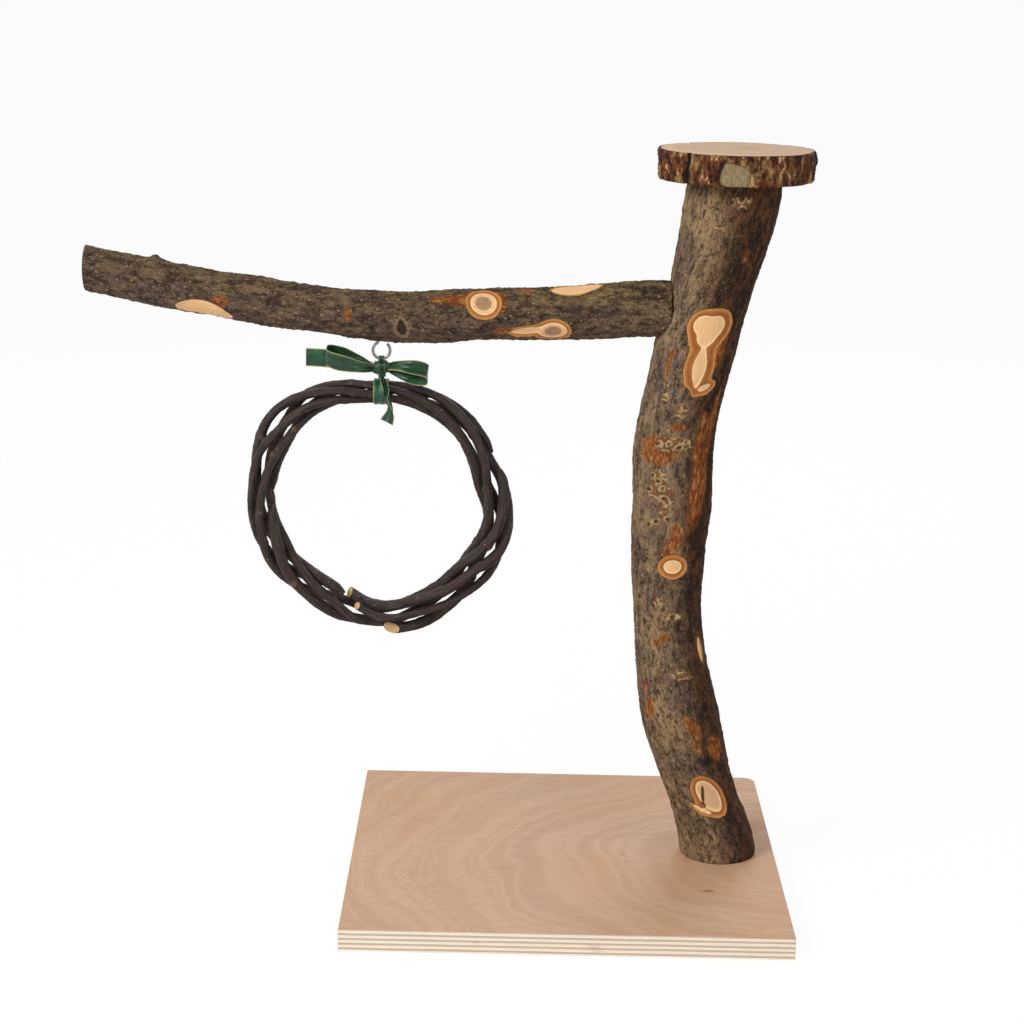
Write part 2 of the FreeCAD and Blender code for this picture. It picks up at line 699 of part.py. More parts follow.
def make_wrap_and_tail():
    soft = size("soft_clearance")
    thickness = size("ribbon_thickness")
    middle = ring_middle()
    centre = middle + Vector(0, 0, ring_radius(WRAP_ANGLE))
    radius = cane_radius(0, WRAP_ANGLE)
    up = bundle_radial_at(WRAP_ANGLE) + radius + soft
    out = bundle_sideways_at(WRAP_ANGLE) + radius + soft
    width = size("wrap_width")

    def band(extra):
        long_axis, short_axis = max(up, out) + extra, min(up, out) + extra
        oval = Part.Ellipse(Vector(0, 0, 0), long_axis, short_axis)
        face = Part.Face(Part.Wire(oval.toShape()))
        if up > out:
            face.rotate(Vector(0, 0, 0), Vector(0, 0, 1), 90)
        face.rotate(Vector(0, 0, 0), Vector(1, 0, 0), 90)
        face.rotate(Vector(0, 0, 0), Vector(0, 0, 1), 90)
        face.translate(centre - Vector(width / 2, 0, 0))
        return face.extrude(Vector(width, 0, 0))

    shape_part("ribbon_wrap", band(thickness).cut(band(0.0)))

    front = -(out + thickness) - FRONT_TAIL_PROUD
    knot_x = knot_middle().x
    high = sway_pivot().z - FRONT_TAIL_BELOW_PIVOT
    drop = size("front_tail_drop")
    stations = []
    for right, forward, share, across, width in FRONT_TAIL:
        place = Vector(knot_x + right, front - forward, high - share * drop)
        stations.append((place, Vector(*across), width))
    strip("front_tail", stations)


# ---------------------------------------------------------------- fasteners

def revolve(points):
    outline = Part.makePolygon([Vector(r, 0, z) for r, z in points] + [Vector(points[0][0], 0, points[0][1])])
    return Part.Face(outline).revolve(Vector(0, 0, 0), Vector(0, 0, 1), 360)


def threaded_profile(outer, root, low, high, pitch):
    """Points up a screw's side: a plain saw tooth for each turn of the thread."""
    turns = int((high - low) / pitch)
    points = []
    for i in range(turns):
        z = low + i * pitch
        points += [(root, z), (outer, z + pitch / 2)]
    points.append((root, low + turns * pitch))
    return points


def make_base_screws():
    shank = size("screw_diameter") / 2
    head = size("screw_head_diameter") / 2
    recess = size("screw_head_recess")
    tall = head - shank
    length = size("screw_length")
    profile = [(0, recess), (head, recess), (shank, recess + tall)]
    profile += threaded_profile(shank, 0.66 * shank, 0.45 * length, recess + length - 2 * shank,
                                size("screw_pitch"))
    profile += [(0, recess + length)]
    screw = revolve(profile)
    slot_long = 1.1 * head
    slot_wide = 0.3 * shank
    for turn in (0, 90):
        slot = Part.makeBox(slot_long, 2 * slot_wide, 0.8 * tall,
                            Vector(-slot_long / 2, -slot_wide, recess - 0.01))
        slot.rotate(Vector(0, 0, 0), Vector(0, 0, 1), turn)
        screw = screw.cut(slot)
    copies = []
    for place in screw_places():
        copy = screw.copy()
        copy.translate(place)
        copies.append(copy)
    shape_part("base_screws", Part.makeCompound(copies))


def make_dowel():
    radius = size("dowel_diameter") / 2
    length = size("dowel_length")
    place = Vector(size("post_foot_place") + POST_COURSE[-1][1], 0,
                   size("board_thickness") + size("post_length") - length / 2 - size("dowel_deeper_in_post"))
    dowel = Part.makeCylinder(radius, length, place, Vector(0, 0, 1))
    rims = [edge for edge in dowel.Edges if edge.Closed]
    shape_part("platform_dowel", dowel.makeChamfer(size("dowel_chamfer"), rims))


def make_bolt():
    """A double-ended wood screw that draws the perch against its seat."""
    outer = size("bolt_diameter") / 2
    half = size("bolt_length") / 2
    plain = size("bolt_plain_length") / 2
    pitch = size("bolt_pitch")
    side = [(0, 0)] + threaded_profile(outer, 0.72 * outer, 2 * outer, half - plain, pitch)
    side += [(outer, half - 0.98 * plain), (outer, half + 0.98 * plain)]
    side += threaded_profile(outer, 0.72 * outer, half + plain, 2 * half - 2 * outer, pitch)
    side += [(0, 2 * half)]
    bolt = revolve(side)
    bolt.rotate(Vector(0, 0, 0), Vector(0, 1, 0), 90)
    bolt.translate(Vector(seat_place() - half, 0, joint_height()))
    shape_part("perch_bolt", bolt)


make_board()
make_post()
make_platform()
make_perch()
make_screw_eye()
make_ribbon()
make_canes()
make_wrap_and_tail()
make_base_screws()
make_dowel()
make_bolt()
doc.recompute()

for item in doc.Objects:
    if "Invalid" in item.State or "Error" in item.State:
        raise RuntimeError("%s: %s" % (item.Name, item.State))
os.makedirs("parts", exist_ok=True)
for item in sub_parts:
    if item.Shape.isNull() or not item.Shape.isValid():
        raise RuntimeError(item.Label + " has no valid shape")
    box = item.Shape.optimalBoundingBox(True, False)
    print("%-18s %d solid(s) %10.1f mm3  x %.1f..%.1f y %.1f..%.1f z %.1f..%.1f" % (
        item.Label, len(item.Shape.Solids), item.Shape.Volume,
        box.XMin, box.XMax, box.YMin, box.YMax, box.ZMin, box.ZMax))
    item.Shape.exportStep("parts/%s.step" % item.Label)
print("sway pivot", sway_pivot(), "eye bottom", eye_bottom(), "ring middle", ring_middle())
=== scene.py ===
import math
import random

import bmesh
import bpy
from mathutils import Matrix, Vector, noise
from mathutils.bvhtree import BVHTree


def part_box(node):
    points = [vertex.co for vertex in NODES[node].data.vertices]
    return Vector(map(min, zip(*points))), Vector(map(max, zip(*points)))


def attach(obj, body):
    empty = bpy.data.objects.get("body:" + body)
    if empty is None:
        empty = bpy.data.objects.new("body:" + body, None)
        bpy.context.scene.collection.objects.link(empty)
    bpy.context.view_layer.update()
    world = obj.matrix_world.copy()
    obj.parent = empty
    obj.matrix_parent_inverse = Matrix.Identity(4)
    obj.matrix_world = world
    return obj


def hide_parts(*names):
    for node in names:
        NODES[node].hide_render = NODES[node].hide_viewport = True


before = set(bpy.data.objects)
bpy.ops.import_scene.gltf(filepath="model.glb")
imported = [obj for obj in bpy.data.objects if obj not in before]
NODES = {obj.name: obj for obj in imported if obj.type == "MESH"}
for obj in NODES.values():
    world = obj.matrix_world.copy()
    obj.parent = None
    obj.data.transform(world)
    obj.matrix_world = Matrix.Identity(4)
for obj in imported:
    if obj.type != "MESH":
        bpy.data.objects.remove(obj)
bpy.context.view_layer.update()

# Parrot play stand: bark, sawn wood, plywood, twisted canes and a satin ribbon bow.
# Lengths are worked out in millimetres and scaled to metres when a mesh is made.

MM = 0.001
SEED = 7
ALONG_X, ALONG_Y, ALONG_Z = Vector((1, 0, 0)), Vector((0, 1, 0)), Vector((0, 0, 1))


def box_mm(node):
    low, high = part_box(node)
    return low / MM, high / MM


# ---------------------------------------------------------------- camera and light

CAMERA_PLACE = Vector((-41.4, -1579.1, 654.8))
CAMERA_LOOKS_DOWN = math.radians(13.995)
CAMERA_TURN = math.radians(-0.012)
CAMERA_ROLL = math.radians(1.186)
PHOTO_SIDE_PX = 1024
FOCAL_PX = 2357.3
SENSOR_MM = 36.0


def make_camera():
    right = Vector((math.cos(CAMERA_TURN), -math.sin(CAMERA_TURN), 0))
    ahead = Vector((math.sin(CAMERA_TURN) * math.cos(CAMERA_LOOKS_DOWN),
                    math.cos(CAMERA_TURN) * math.cos(CAMERA_LOOKS_DOWN), -math.sin(CAMERA_LOOKS_DOWN)))
    up = right.cross(ahead)
    rolled_right = math.cos(CAMERA_ROLL) * right + math.sin(CAMERA_ROLL) * up
    rolled_up = math.cos(CAMERA_ROLL) * up - math.sin(CAMERA_ROLL) * right
    data = bpy.data.cameras.new("camera")
    data.sensor_width = SENSOR_MM
    data.lens = FOCAL_PX / PHOTO_SIDE_PX * SENSOR_MM
    data.clip_start = 0.01
    data.clip_end = 50
    camera = bpy.data.objects.new("camera", data)
    bpy.context.scene.collection.objects.link(camera)
    turn = Matrix((rolled_right, rolled_up, -ahead)).transposed()
    camera.matrix_world = Matrix.Translation(CAMERA_PLACE * MM) @ turn.to_4x4()
    bpy.context.scene.camera = camera


def make_lamp(name, place, target, side, watts, colour):
    data = bpy.data.lights.new(name, "AREA")
    data.shape = "DISK"
    data.size = side
    data.energy = watts
    data.color = colour
    lamp = bpy.data.objects.new(name, data)
    bpy.context.scene.collection.objects.link(lamp)
    lamp.location = place
    lamp.rotation_mode = "QUATERNION"
    lamp.rotation_quaternion = (Vector(target) - Vector(place)).to_track_quat("-Z", "Y")


def make_light():
    middle = (-0.05, 0.0, 0.25)
    make_lamp("key", (-1.5, -1.3, 1.5), middle, 1.1, 40, (1.0, 0.985, 0.96))
    make_lamp("fill", (1.6, -1.6, 0.9), middle, 1.6, 9, (0.97, 0.985, 1.0))
    make_lamp("back", (0.3, 1.7, 1.6), middle, 1.2, 12, (1.0, 1.0, 1.0))
    world = bpy.data.worlds.new("world")
    bpy.context.scene.world = world
    s = Shade("world", world)
    seen = s.seen_directly()
    soft = s.node("Background", Color=(1.0, 0.98, 0.96, 1), Strength=0.42)
    white = s.node("Background", Color=(1, 1, 1, 1), Strength=0.965)
    s.output("World", s.blend(seen, soft, white))
    bpy.context.scene.view_settings.view_transform = "Standard"


# ---------------------------------------------------------------- materials

def rgb(red, green, blue):
    """A colour written in 0-255 display values, as linear light."""
    def linear(value):
        value /= 255
        return value / 12.92 if value <= 0.04045 else ((value + 0.055) / 1.055) ** 2.4
    return (linear(red), linear(green), linear(blue), 1.0)


def operator(kind, swapped=False):
    def apply(self, other):
        pair = (other, self) if swapped else (self, other)
        return self.shade.math(kind, *pair)
    return apply


class Value:
    """A node's output. Each + - * / or abs() of it adds a Math node."""

    def __init__(self, shade, socket):
        self.shade, self.socket = shade, socket

    __add__, __radd__ = operator("ADD"), operator("ADD", True)
    __sub__, __rsub__ = operator("SUBTRACT"), operator("SUBTRACT", True)
    __mul__, __rmul__ = operator("MULTIPLY"), operator("MULTIPLY", True)
    __truediv__ = operator("DIVIDE")

    def __abs__(self):
        return self.shade.math("ABSOLUTE", self)


class Shade:
    """Short calls for the nodes of one material, or of the world."""

    def __init__(self, name, owner=None):
        self.material = owner or bpy.data.materials.new(name)
        self.material.use_nodes = True
        self.tree = self.material.node_tree
        self.tree.nodes.clear()

    def put(self, socket, value):
        if isinstance(value, Value):
            value = value.socket
        if isinstance(value, bpy.types.NodeSocket):
            self.tree.links.new(value, socket)
        else:
            socket.default_value = value

    def made(self, kind, values=(), **settings):
        """A new node with its settings, and its first inputs filled in order."""
        node = self.tree.nodes.new("ShaderNode" + kind)
        for key, value in settings.items():
            setattr(node, key, value)
        for socket, value in zip(node.inputs, values):
            self.put(socket, value)
        return node

    def node(self, kind, **sockets):
        node = self.made(kind)
        for key, value in sockets.items():
            self.put(node.inputs[key.replace("_", " ")], value)
        return node

    def attribute(self, name, output="Fac"):
        return Value(self, self.made("Attribute", attribute_name=name).outputs[output])

    def place_mm(self):
        return self.scaled(self.node("TexCoord").outputs["Object"], 1000, 1000, 1000)

    def scaled(self, vector, x, y, z):
        return Value(self, self.node("Mapping", Vector=vector, Scale=(x, y, z)).outputs[0])

    def noise(self, vector, scale, detail=4.0, rough=0.55, twist=0.0):
        node = self.node("TexNoise", Vector=vector, Scale=scale, Detail=detail, Roughness=rough,
                         Distortion=twist)
        return Value(self, node.outputs["Fac"])

    def grain(self, vector, stretch, *settings):
        """Noise whose third axis is scaled by stretch; below 1 draws it out."""
        return self.noise(self.scaled(vector, 1, 1, stretch), *settings)

    def cells(self, vector, scale):
        return Value(self, self.node("TexVoronoi", Vector=vector, Scale=scale).outputs["Distance"])

    def math(self, kind, a, b=0.0):
        return Value(self, self.made("Math", (a, b), operation=kind).outputs[0])

    def step(self, value, low, high, out_low=0.0, out_high=1.0):
        node = self.made("MapRange", (value, low, high, out_low, out_high), interpolation_type="SMOOTHSTEP")
        return Value(self, node.outputs[0])

    def mix(self, share, a, b, blend="MIX"):
        node = self.made("Mix", data_type="RGBA", blend_type=blend)
        for index, value in ((0, share), (6, a), (7, b)):
            self.put(node.inputs[index], value)
        return Value(self, node.outputs[2])

    def coats(self, base, *layers):
        """Tones laid over a base, each as its value goes from low to high, at its strength."""
        for value, low, high, strength, tone in layers:
            base = self.mix(self.step(value, low, high) * strength, base, tone)
        return base

    def ramp(self, value, stops):
        node = self.made("ValToRGB")
        band = node.color_ramp
        while len(band.elements) < len(stops):
            band.elements.new(0.5)
        for element, (position, tone) in zip(band.elements, stops):
            element.position = position
            element.color = tone
        self.put(node.inputs[0], value)
        return Value(self, node.outputs[0])

    def bump(self, height, distance, strength=1.0):
        node = self.node("Bump", Strength=strength, Distance=distance * MM, Height=height)
        return Value(self, node.outputs[0])

    def seen_directly(self):
        """1 for camera and mirror rays, so that lighting isn't changed."""
        path = self.node("LightPath")
        return self.math("MAXIMUM", path.outputs["Is Camera Ray"], path.outputs["Is Glossy Ray"])

    def blend(self, share, first, second):
        return self.made("MixShader", (share, first.outputs[0], second.outputs[0]))

    def output(self, kind, shader):
        self.node("Output" + kind, Surface=shader.outputs[0])

    def finish(self, base, rough, normal, **constants):
        self.output("Material", self.node("BsdfPrincipled", Base_Color=base, Roughness=rough, Normal=normal,
                                          **constants))
        return self.material


# the post's side tones are its darker bark with painted shade on its right side; the perch's are moss on
# its upper side
BARK_TONES = {
    "post": dict(light=rgb(172, 142, 106), grey=rgb(122, 100, 86), dark=rgb(34, 23, 19),
                 side=rgb(96, 56, 34), side_dark=rgb(28, 13, 8), fleck=rgb(196, 166, 118),
                 side_fleck=rgb(136, 96, 54), warts=0.4, eye_lip=0.0),
    "perch": dict(light=rgb(122, 100, 80), grey=rgb(98, 80, 72), dark=rgb(32, 22, 18),
                  side=rgb(150, 126, 80), side_dark=rgb(82, 64, 42), fleck=rgb(166, 140, 106),
                  side_fleck=rgb(176, 152, 104), warts=0.6, eye_lip=0.5),
}


def bark_material(kind):
    """Barked wood: mottled grey-brown bark, orange inner bark round the pale peeled wood."""
    tones = BARK_TONES[kind]
    s = Shade(kind + "_bark")
    skin = s.attribute("skin", "Vector")
    broad = s.grain(skin, 0.5, 0.055, 4, 0.6)
    medium = s.grain(skin, 0.6, 0.3, 6, 0.72, 0.3)
    blotch = s.grain(skin, 0.4, 0.13, 4, 0.62, 0.5)
    fine = s.grain(skin, 0.6, 1.1, 5, 0.72)
    streak = s.grain(skin, 0.14, 0.7, 5, 0.65, 0.3)
    shade_and_weather = s.attribute("shade_and_weather")

    bark = s.mix(s.step(broad, 0.36, 0.62), tones["light"], tones["grey"])
    # the post's right side: darker bark with painted shade; the perch's upper side: moss
    side = s.mix(s.step(blotch, 0.6, 0.44), tones["side"], tones["side_dark"])
    bark = s.mix(shade_and_weather * 0.92, bark, side)
    fleck = s.mix(shade_and_weather, tones["fleck"], tones["side_fleck"])
    bark = s.coats(
        bark,
        (blotch, 0.5, 0.42, 0.45, tones["dark"]),
        (medium, 0.49, 0.39, 0.78, tones["dark"]),
        (medium, 0.54, 0.64, 0.42, fleck),
        (streak, 0.45, 0.37, 0.55, tones["dark"]),
        (fine, 0.48, 0.38, 0.5, tones["dark"]),
        (fine, 0.57, 0.65, 0.75, fleck))
    # pits: sunk in the relief and darkened as painted shade
    pits = s.step(s.cells(s.scaled(skin, 1, 1, 0.7), 0.42), 0.26, 0.1)
    pits = pits * s.step(streak, 0.56, 0.46)
    bark = s.mix(pits * 0.7, bark, tones["dark"])
    orange = s.grain(skin, 0.6, 0.2, 5, 0.7, 0.6)
    bark = s.mix(s.step(orange, 0.62, 0.7) * 0.5, bark, rgb(148, 92, 50))

    # lenticels: small beige warts, most of them a little taller than wide
    wart_place = s.scaled(skin, 1, 1, 0.75)
    wart_place = s.mix(0.6, wart_place, s.node("TexNoise", Vector=skin, Scale=0.3).outputs["Color"], "ADD")
    wart = s.cells(wart_place, 0.2)
    wart_size = s.noise(wart_place, 0.3, 1, 0.5) * 0.4
    warts = s.step(wart - wart_size, 0.02, -0.07)
    small = s.step(s.cells(skin, 0.55), 0.24, 0.1)
    warts = s.math("MAXIMUM", warts, small * s.step(blotch, 0.45, 0.6))
    shade_under = s.step(wart - wart_size, 0.2, 0.02)
    bark = s.mix(shade_under * (0.45 * tones["warts"]), bark, tones["dark"])
    bark = s.mix(warts * tones["warts"], bark, fleck)

    # orange patches where the outer bark has flaked off, with ragged edges
    ragged = (medium - 0.5) * 13.0 + (fine - 0.5) * 6.0
    rust_share = s.step(s.attribute("rust") + ragged, 0.7, -0.7)
    inner = s.grain(skin, 0.35, 0.6, 5, 0.65)
    rust_tone = s.ramp(inner, [(0.32, rgb(78, 34, 14)), (0.44, rgb(128, 66, 26)),
                               (0.56, rgb(176, 104, 46)), (0.68, rgb(214, 156, 92))])
    blend = s.mix(s.step(fine, 0.45, 0.36), rust_tone, tones["dark"])
    rust_tone = s.mix(0.6, rust_tone, blend)
    tone = s.mix(rust_share * 0.86, bark, rust_tone)
    deep = s.step(s.attribute("deep") + ragged, 1.5, -3.0)
    deep_tone = s.mix(rust_share, rgb(40, 22, 16), rgb(86, 42, 24))
    tone = s.mix(deep * 0.75, tone, deep_tone)
    eye = s.attribute("deep") + ragged * 0.28
    lip_place = abs(eye - 1.6)
    tone = s.mix(s.step(lip_place, 1.6, 0.3) * tones["eye_lip"], tone, fleck)
    tone = s.mix(s.step(eye, 0.7, -0.5) * (1.5 * tones["eye_lip"]), tone, rgb(46, 30, 22))
    tone = s.mix(s.step(eye, -1.2, -2.2) * tones["eye_lip"], tone, rgb(92, 68, 48))

    # curled crusts: pale ridges with painted shade in the hollows between them
    crust_area = s.step(s.attribute("crust") + ragged * 0.7, 0.8, -0.8)
    drift = s.node("TexNoise", Vector=skin, Scale=0.35, Detail=2.0).outputs["Color"]
    curl_place = s.mix(0.75, skin, drift, "ADD")
    curl_place = s.mix(0.75, curl_place, drift, "ADD")
    curl = s.cells(s.scaled(curl_place, 1, 1, 1.25), 0.17)
    rough_curl = (fine - 0.5) * 0.5 + (medium - 0.5) * 0.7
    curl = curl + rough_curl
    curl_line = s.step(abs(curl - 0.44), 0.15, 0.05)
    crust_tone = s.mix(s.step(fine, 0.4, 0.6), rgb(98, 62, 38), rgb(158, 112, 70))
    hollow_shade = s.step(curl, 0.3, 0.16)
    crust_tone = s.mix(hollow_shade * 0.8, crust_tone, rgb(70, 42, 28))
    crust_tone = s.mix(curl_line * 0.85, crust_tone, rgb(222, 192, 142))
    tone = s.mix(crust_area * 0.9, tone, crust_tone)

    # bare wood, cut with a knife, inside a smooth rim of inner bark
    soft = (medium - 0.5) * 2.4
    rim = s.attribute("rim") + soft
    rim_share = s.step(rim, 0.3, -0.3)
    rim_tone = s.ramp(s.step(rim, 0.0, -5.5), [(0.0, rgb(196, 136, 78)), (0.25, rgb(168, 106, 54)),
                                               (0.7, rgb(140, 82, 38)), (1.0, rgb(158, 98, 50))])
    rim_tone = s.mix(s.step(inner, 0.45, 0.65) * 0.3, rim_tone, rgb(190, 130, 74))
    tone = s.mix(rim_share, tone, rim_tone)
    wood_edge = s.attribute("wood") + soft * 0.35
    wood_share = s.step(wood_edge, 0.2, -0.2)
    grain = s.grain(skin, 0.06, 1.6, 5, 0.6)
    wood_tone = s.ramp(grain, [(0.3, rgb(214, 164, 114)), (0.55, rgb(228, 184, 134)),
                               (0.75, rgb(240, 204, 158))])
    heart = s.attribute("heart")
    waves = s.math("SINE", (heart + soft * 0.06) * 34.0)
    rings = (waves * 0.5 + 0.5) * s.step(heart, 0.64, 0.54)
    wood_tone = s.mix(s.step(heart, 0.68, 0.56) * 0.85, wood_tone, rgb(166, 132, 102))
    wood_tone = s.mix(rings * 0.42, wood_tone, rgb(112, 80, 56))
    wood_tone = s.mix(s.step(fine, 0.5, 0.34) * s.step(heart, 0.68, 0.3), wood_tone, rgb(84, 58, 42))
    plain_core = s.step(heart, 1.8, 1.95) * s.step(heart, 2.86, 2.7)
    wood_tone = s.mix(plain_core * 0.8, wood_tone, rgb(204, 164, 132))
    lip = s.step(abs(wood_edge + 0.6), 0.7, 0.0)
    wood_tone = s.mix(lip * 0.6, wood_tone, rgb(250, 220, 178))
    check = s.step(s.attribute("deep"), 0.7, -0.5) * s.step(rim, 1.0, 0.0)
    wood_tone = s.mix(check, wood_tone, rgb(70, 40, 26))
    tone = s.mix(wood_share, tone, wood_tone)

    # sawn ends
    sawn = s.ramp(s.noise(skin, 0.9, 4, 0.6), [(0.35, rgb(112, 84, 58)), (0.65, rgb(160, 124, 88))])
    tone = s.mix(s.step(s.attribute("sawn"), 0.5, 0.9), tone, sawn)

    relief = medium * 1.9 + fine * 0.9
    relief = relief + warts * 0.6
    relief = relief - pits * 0.5
    relief = relief + streak * 0.5
    relief = relief + curl_line * crust_area * 0.8
    calm = 1.0 - s.math("MAXIMUM", wood_share, rim_share) * 0.85
    normal = s.bump(relief * calm, 1.5, 0.95)
    rough = 0.88 - wood_share * 0.22
    return s.finish(tone, rough, normal, Specular_IOR_Level=0.18)


def platform_material():
    """Log slice: sawn face with faint rings round the pith, craggy bark on its rim."""
    s = Shade("platform_slice")
    skin = s.attribute("skin", "Vector")
    rim = s.attribute("rim")
    place = s.place_mm()
    wobble = s.noise(place, 0.03, 3, 0.5)
    radius = s.attribute("pith") + wobble * 9.0
    rings = s.math("SINE", radius * 2.6)
    fine = s.grain(place, 1, 1.4, 5, 0.6)
    face = s.ramp(fine, [(0.3, rgb(168, 134, 100)), (0.55, rgb(194, 162, 126)),
                         (0.75, rgb(208, 178, 144))])
    face = s.mix(s.step(rings, 0.1, 1.0) * 0.22, face, rgb(160, 118, 78))
    heart = s.step(radius + fine * 6.0, 24.0, 5.0)
    face = s.mix(heart * 0.5, face, rgb(140, 104, 72))
    band = s.step(radius, 49.0, 56.0)
    face = s.mix(band * 0.35, face, rgb(232, 200, 150))
    saw = s.noise(s.scaled(place, 0.12, 2.2, 1), 1.0, 3, 0.5)
    face = s.mix(s.step(saw, 0.5, 0.7) * 0.12, face, rgb(150, 116, 84))

    face = s.mix(1.0, face, (0.84, 0.72, 0.58, 1.0), "MULTIPLY")

    # rim: bark in slanted plates, red in places and cream in others
    slanted = s.node("Mapping", Vector=skin, Rotation=(0.5, 0.5, 0.3), Scale=(1.0, 1.0, 0.45))
    blot = s.noise(skin, 0.075, 3, 0.55, 0.4)
    plates = s.noise(slanted.outputs[0], 0.2, 4, 0.62, 0.8)
    crumbs = s.noise(skin, 0.8, 4, 0.7, 0.4)
    red = s.mix(s.step(plates, 0.42, 0.56), rgb(74, 32, 18), rgb(142, 84, 46))
    cream = s.mix(s.step(plates, 0.42, 0.58), rgb(104, 74, 40), rgb(196, 168, 108))
    bark = s.mix(s.step(blot, 0.5, 0.58), red, cream)
    bark = s.mix(1.0, bark, (0.62, 0.5, 0.44, 1.0), "MULTIPLY")
    # the darkest plate tone is painted shade in the clefts between plates, the palest is painted highlight
    # on their raised tops
    bark = s.coats(
        bark,
        (plates, 0.45, 0.38, 0.9, rgb(24, 12, 9)),
        (plates, 0.6, 0.66, 0.8, rgb(222, 196, 136)),
        (crumbs, 0.44, 0.34, 0.5, rgb(30, 15, 10)),
        (crumbs, 0.58, 0.7, 0.4, rgb(190, 158, 104)))
    grey = s.ramp(s.grain(skin, 0.3, 0.9, 4, 0.6),
                  [(0.35, rgb(114, 96, 66)), (0.65, rgb(150, 132, 98))])
    patch = s.step(s.attribute("crust") + (crumbs - 0.5) * 3.0, 0.5, -0.5)
    bark = s.mix(patch, bark, grey)
    # near-black painted shade down the three clefts in the rim
    bark = s.mix(s.step(s.attribute("cleft"), 0.45, 0.8), bark, rgb(12, 7, 6))
    tone = s.mix(rim, face, bark)
    relief = (plates + crumbs * 0.3) * ((rim - patch * 0.8) * 4.0) + (fine + saw * 0.6) * 0.16
    rough = 0.62 + rim * 0.24
    return s.finish(tone, rough, s.bump(relief, 1.4, 0.9), Specular_IOR_Level=0.3)


PLY_COUNT = 9


def plywood_material(thickness):
    """Okoume-faced plywood: pinkish figured veneer above and below, plies on the edges."""
    s = Shade("plywood")
    place = s.place_mm()
    axes = s.node("SeparateXYZ", Vector=place)
    x, y, z = (Value(s, axes.outputs[i]) for i in range(3))
    normal_axes = s.node("SeparateXYZ", Vector=s.node("NewGeometry").outputs["True Normal"])
    flat = s.step(abs(Value(s, normal_axes.outputs[2])), 0.55, 0.75)

    # growth figure: nested arches that open to the right, and wavy flame on the left
    warp = s.grain(place, 1, 0.011, 3, 0.5)
    reach_x = x - 150.0
    reach_y = (y + 32.0) * 1.15
    arch = s.math("SQRT", reach_x * reach_x + reach_y * reach_y)
    arch = arch + warp * 70.0
    arches = s.noise(s.node("CombineXYZ", X=arch * 0.05, Y=0.0, Z=0.0).outputs[0], 1.0, 2, 0.5)
    line = abs(arches - 0.5)
    flame = s.noise(s.scaled(place, 0.06, 0.42, 1), 1.0, 4, 0.6, 1.1)
    pores = s.noise(s.scaled(place, 0.35, 3.4, 1), 1.0, 4, 0.75)
    speck = s.noise(place, 0.9, 4, 0.7)
    face = s.ramp(arches, [(0.3, rgb(196, 158, 132)), (0.5, rgb(207, 172, 146)), (0.7, rgb(200, 162, 130))])
    face = s.coats(
        face,
        (line, 0.03, 0.0, 0.3, rgb(222, 190, 162)),
        (flame, 0.48, 0.7, 0.42, rgb(186, 144, 116)),
        (flame, 0.5, 0.3, 0.3, rgb(220, 190, 164)),
        (pores, 0.58, 0.74, 0.42, rgb(160, 116, 88)),
        (speck, 0.58, 0.76, 0.16, rgb(160, 118, 92)))
    warm = s.step(s.noise(place, 0.009, 2, 0.5), 0.42, 0.66)
    face = s.mix(warm * 0.3, face, rgb(204, 156, 116))

    def mark(mark_x, mark_y, long, wide):
        across = (x - mark_x) / long
        up = (y - mark_y) / wide
        far = s.math("SQRT", across * across + up * up)
        return s.step(far + speck * 0.8, 1.5, 0.7)

    face = s.mix(mark(98.0, -74.0, 5.0, 2.6) * 0.75, face, rgb(120, 82, 58))
    face = s.mix(mark(42.0, -12.0, 2.4, 1.6) * 0.6, face, rgb(128, 92, 66))
    face = s.mix(mark(140.0, 48.0, 9.0, 20.0) * 0.35, face, rgb(206, 140, 80))

    face = s.mix(1.0, face, (0.89, 0.85, 0.79, 1.0), "MULTIPLY")

    # edge: thin faces and alternating plies, end grain in every other one
    level = z / thickness * float(PLY_COUNT)
    ripple = s.noise(s.scaled(place, 0.02, 0.02, 0.3), 1.0, 2, 0.5)
    level = level + (ripple - 0.5) * 0.35
    within = s.math("FRACT", level)
    odd = s.math("PINGPONG", level, 1.0)
    seam = s.step(abs(within - 0.5), 0.4, 0.49)
    fibre = s.noise(s.scaled(place, 0.2, 0.2, 3.0), 1.0, 4, 0.65)
    end_grain = s.noise(s.scaled(place, 2.4, 2.4, 2.4), 1.0, 4, 0.7)
    light_ply = s.ramp(fibre, [(0.3, rgb(240, 226, 204)), (0.7, rgb(254, 248, 236))])
    dark_ply = s.ramp(end_grain, [(0.3, rgb(182, 154, 130)), (0.7, rgb(226, 206, 182))])
    edge = s.mix(s.step(odd, 0.44, 0.56), light_ply, dark_ply)
    edge = s.mix(seam * 0.45, edge, rgb(142, 108, 84))
    worn = s.step(s.noise(place, 0.05, 3, 0.6), 0.6, 0.75)
    edge = s.mix(worn * 0.3, edge, rgb(176, 140, 108))
    tone = s.mix(flat, edge, face)
    grain_relief = pores * -0.22 + flame * 0.05
    edge_relief = seam * -0.3 + end_grain * 0.2
    relief = grain_relief * flat + edge_relief * (1.0 - flat)
    return s.finish(tone, 0.5 + pores * 0.2, s.bump(relief, 0.5, 0.7), Specular_IOR_Level=0.35)


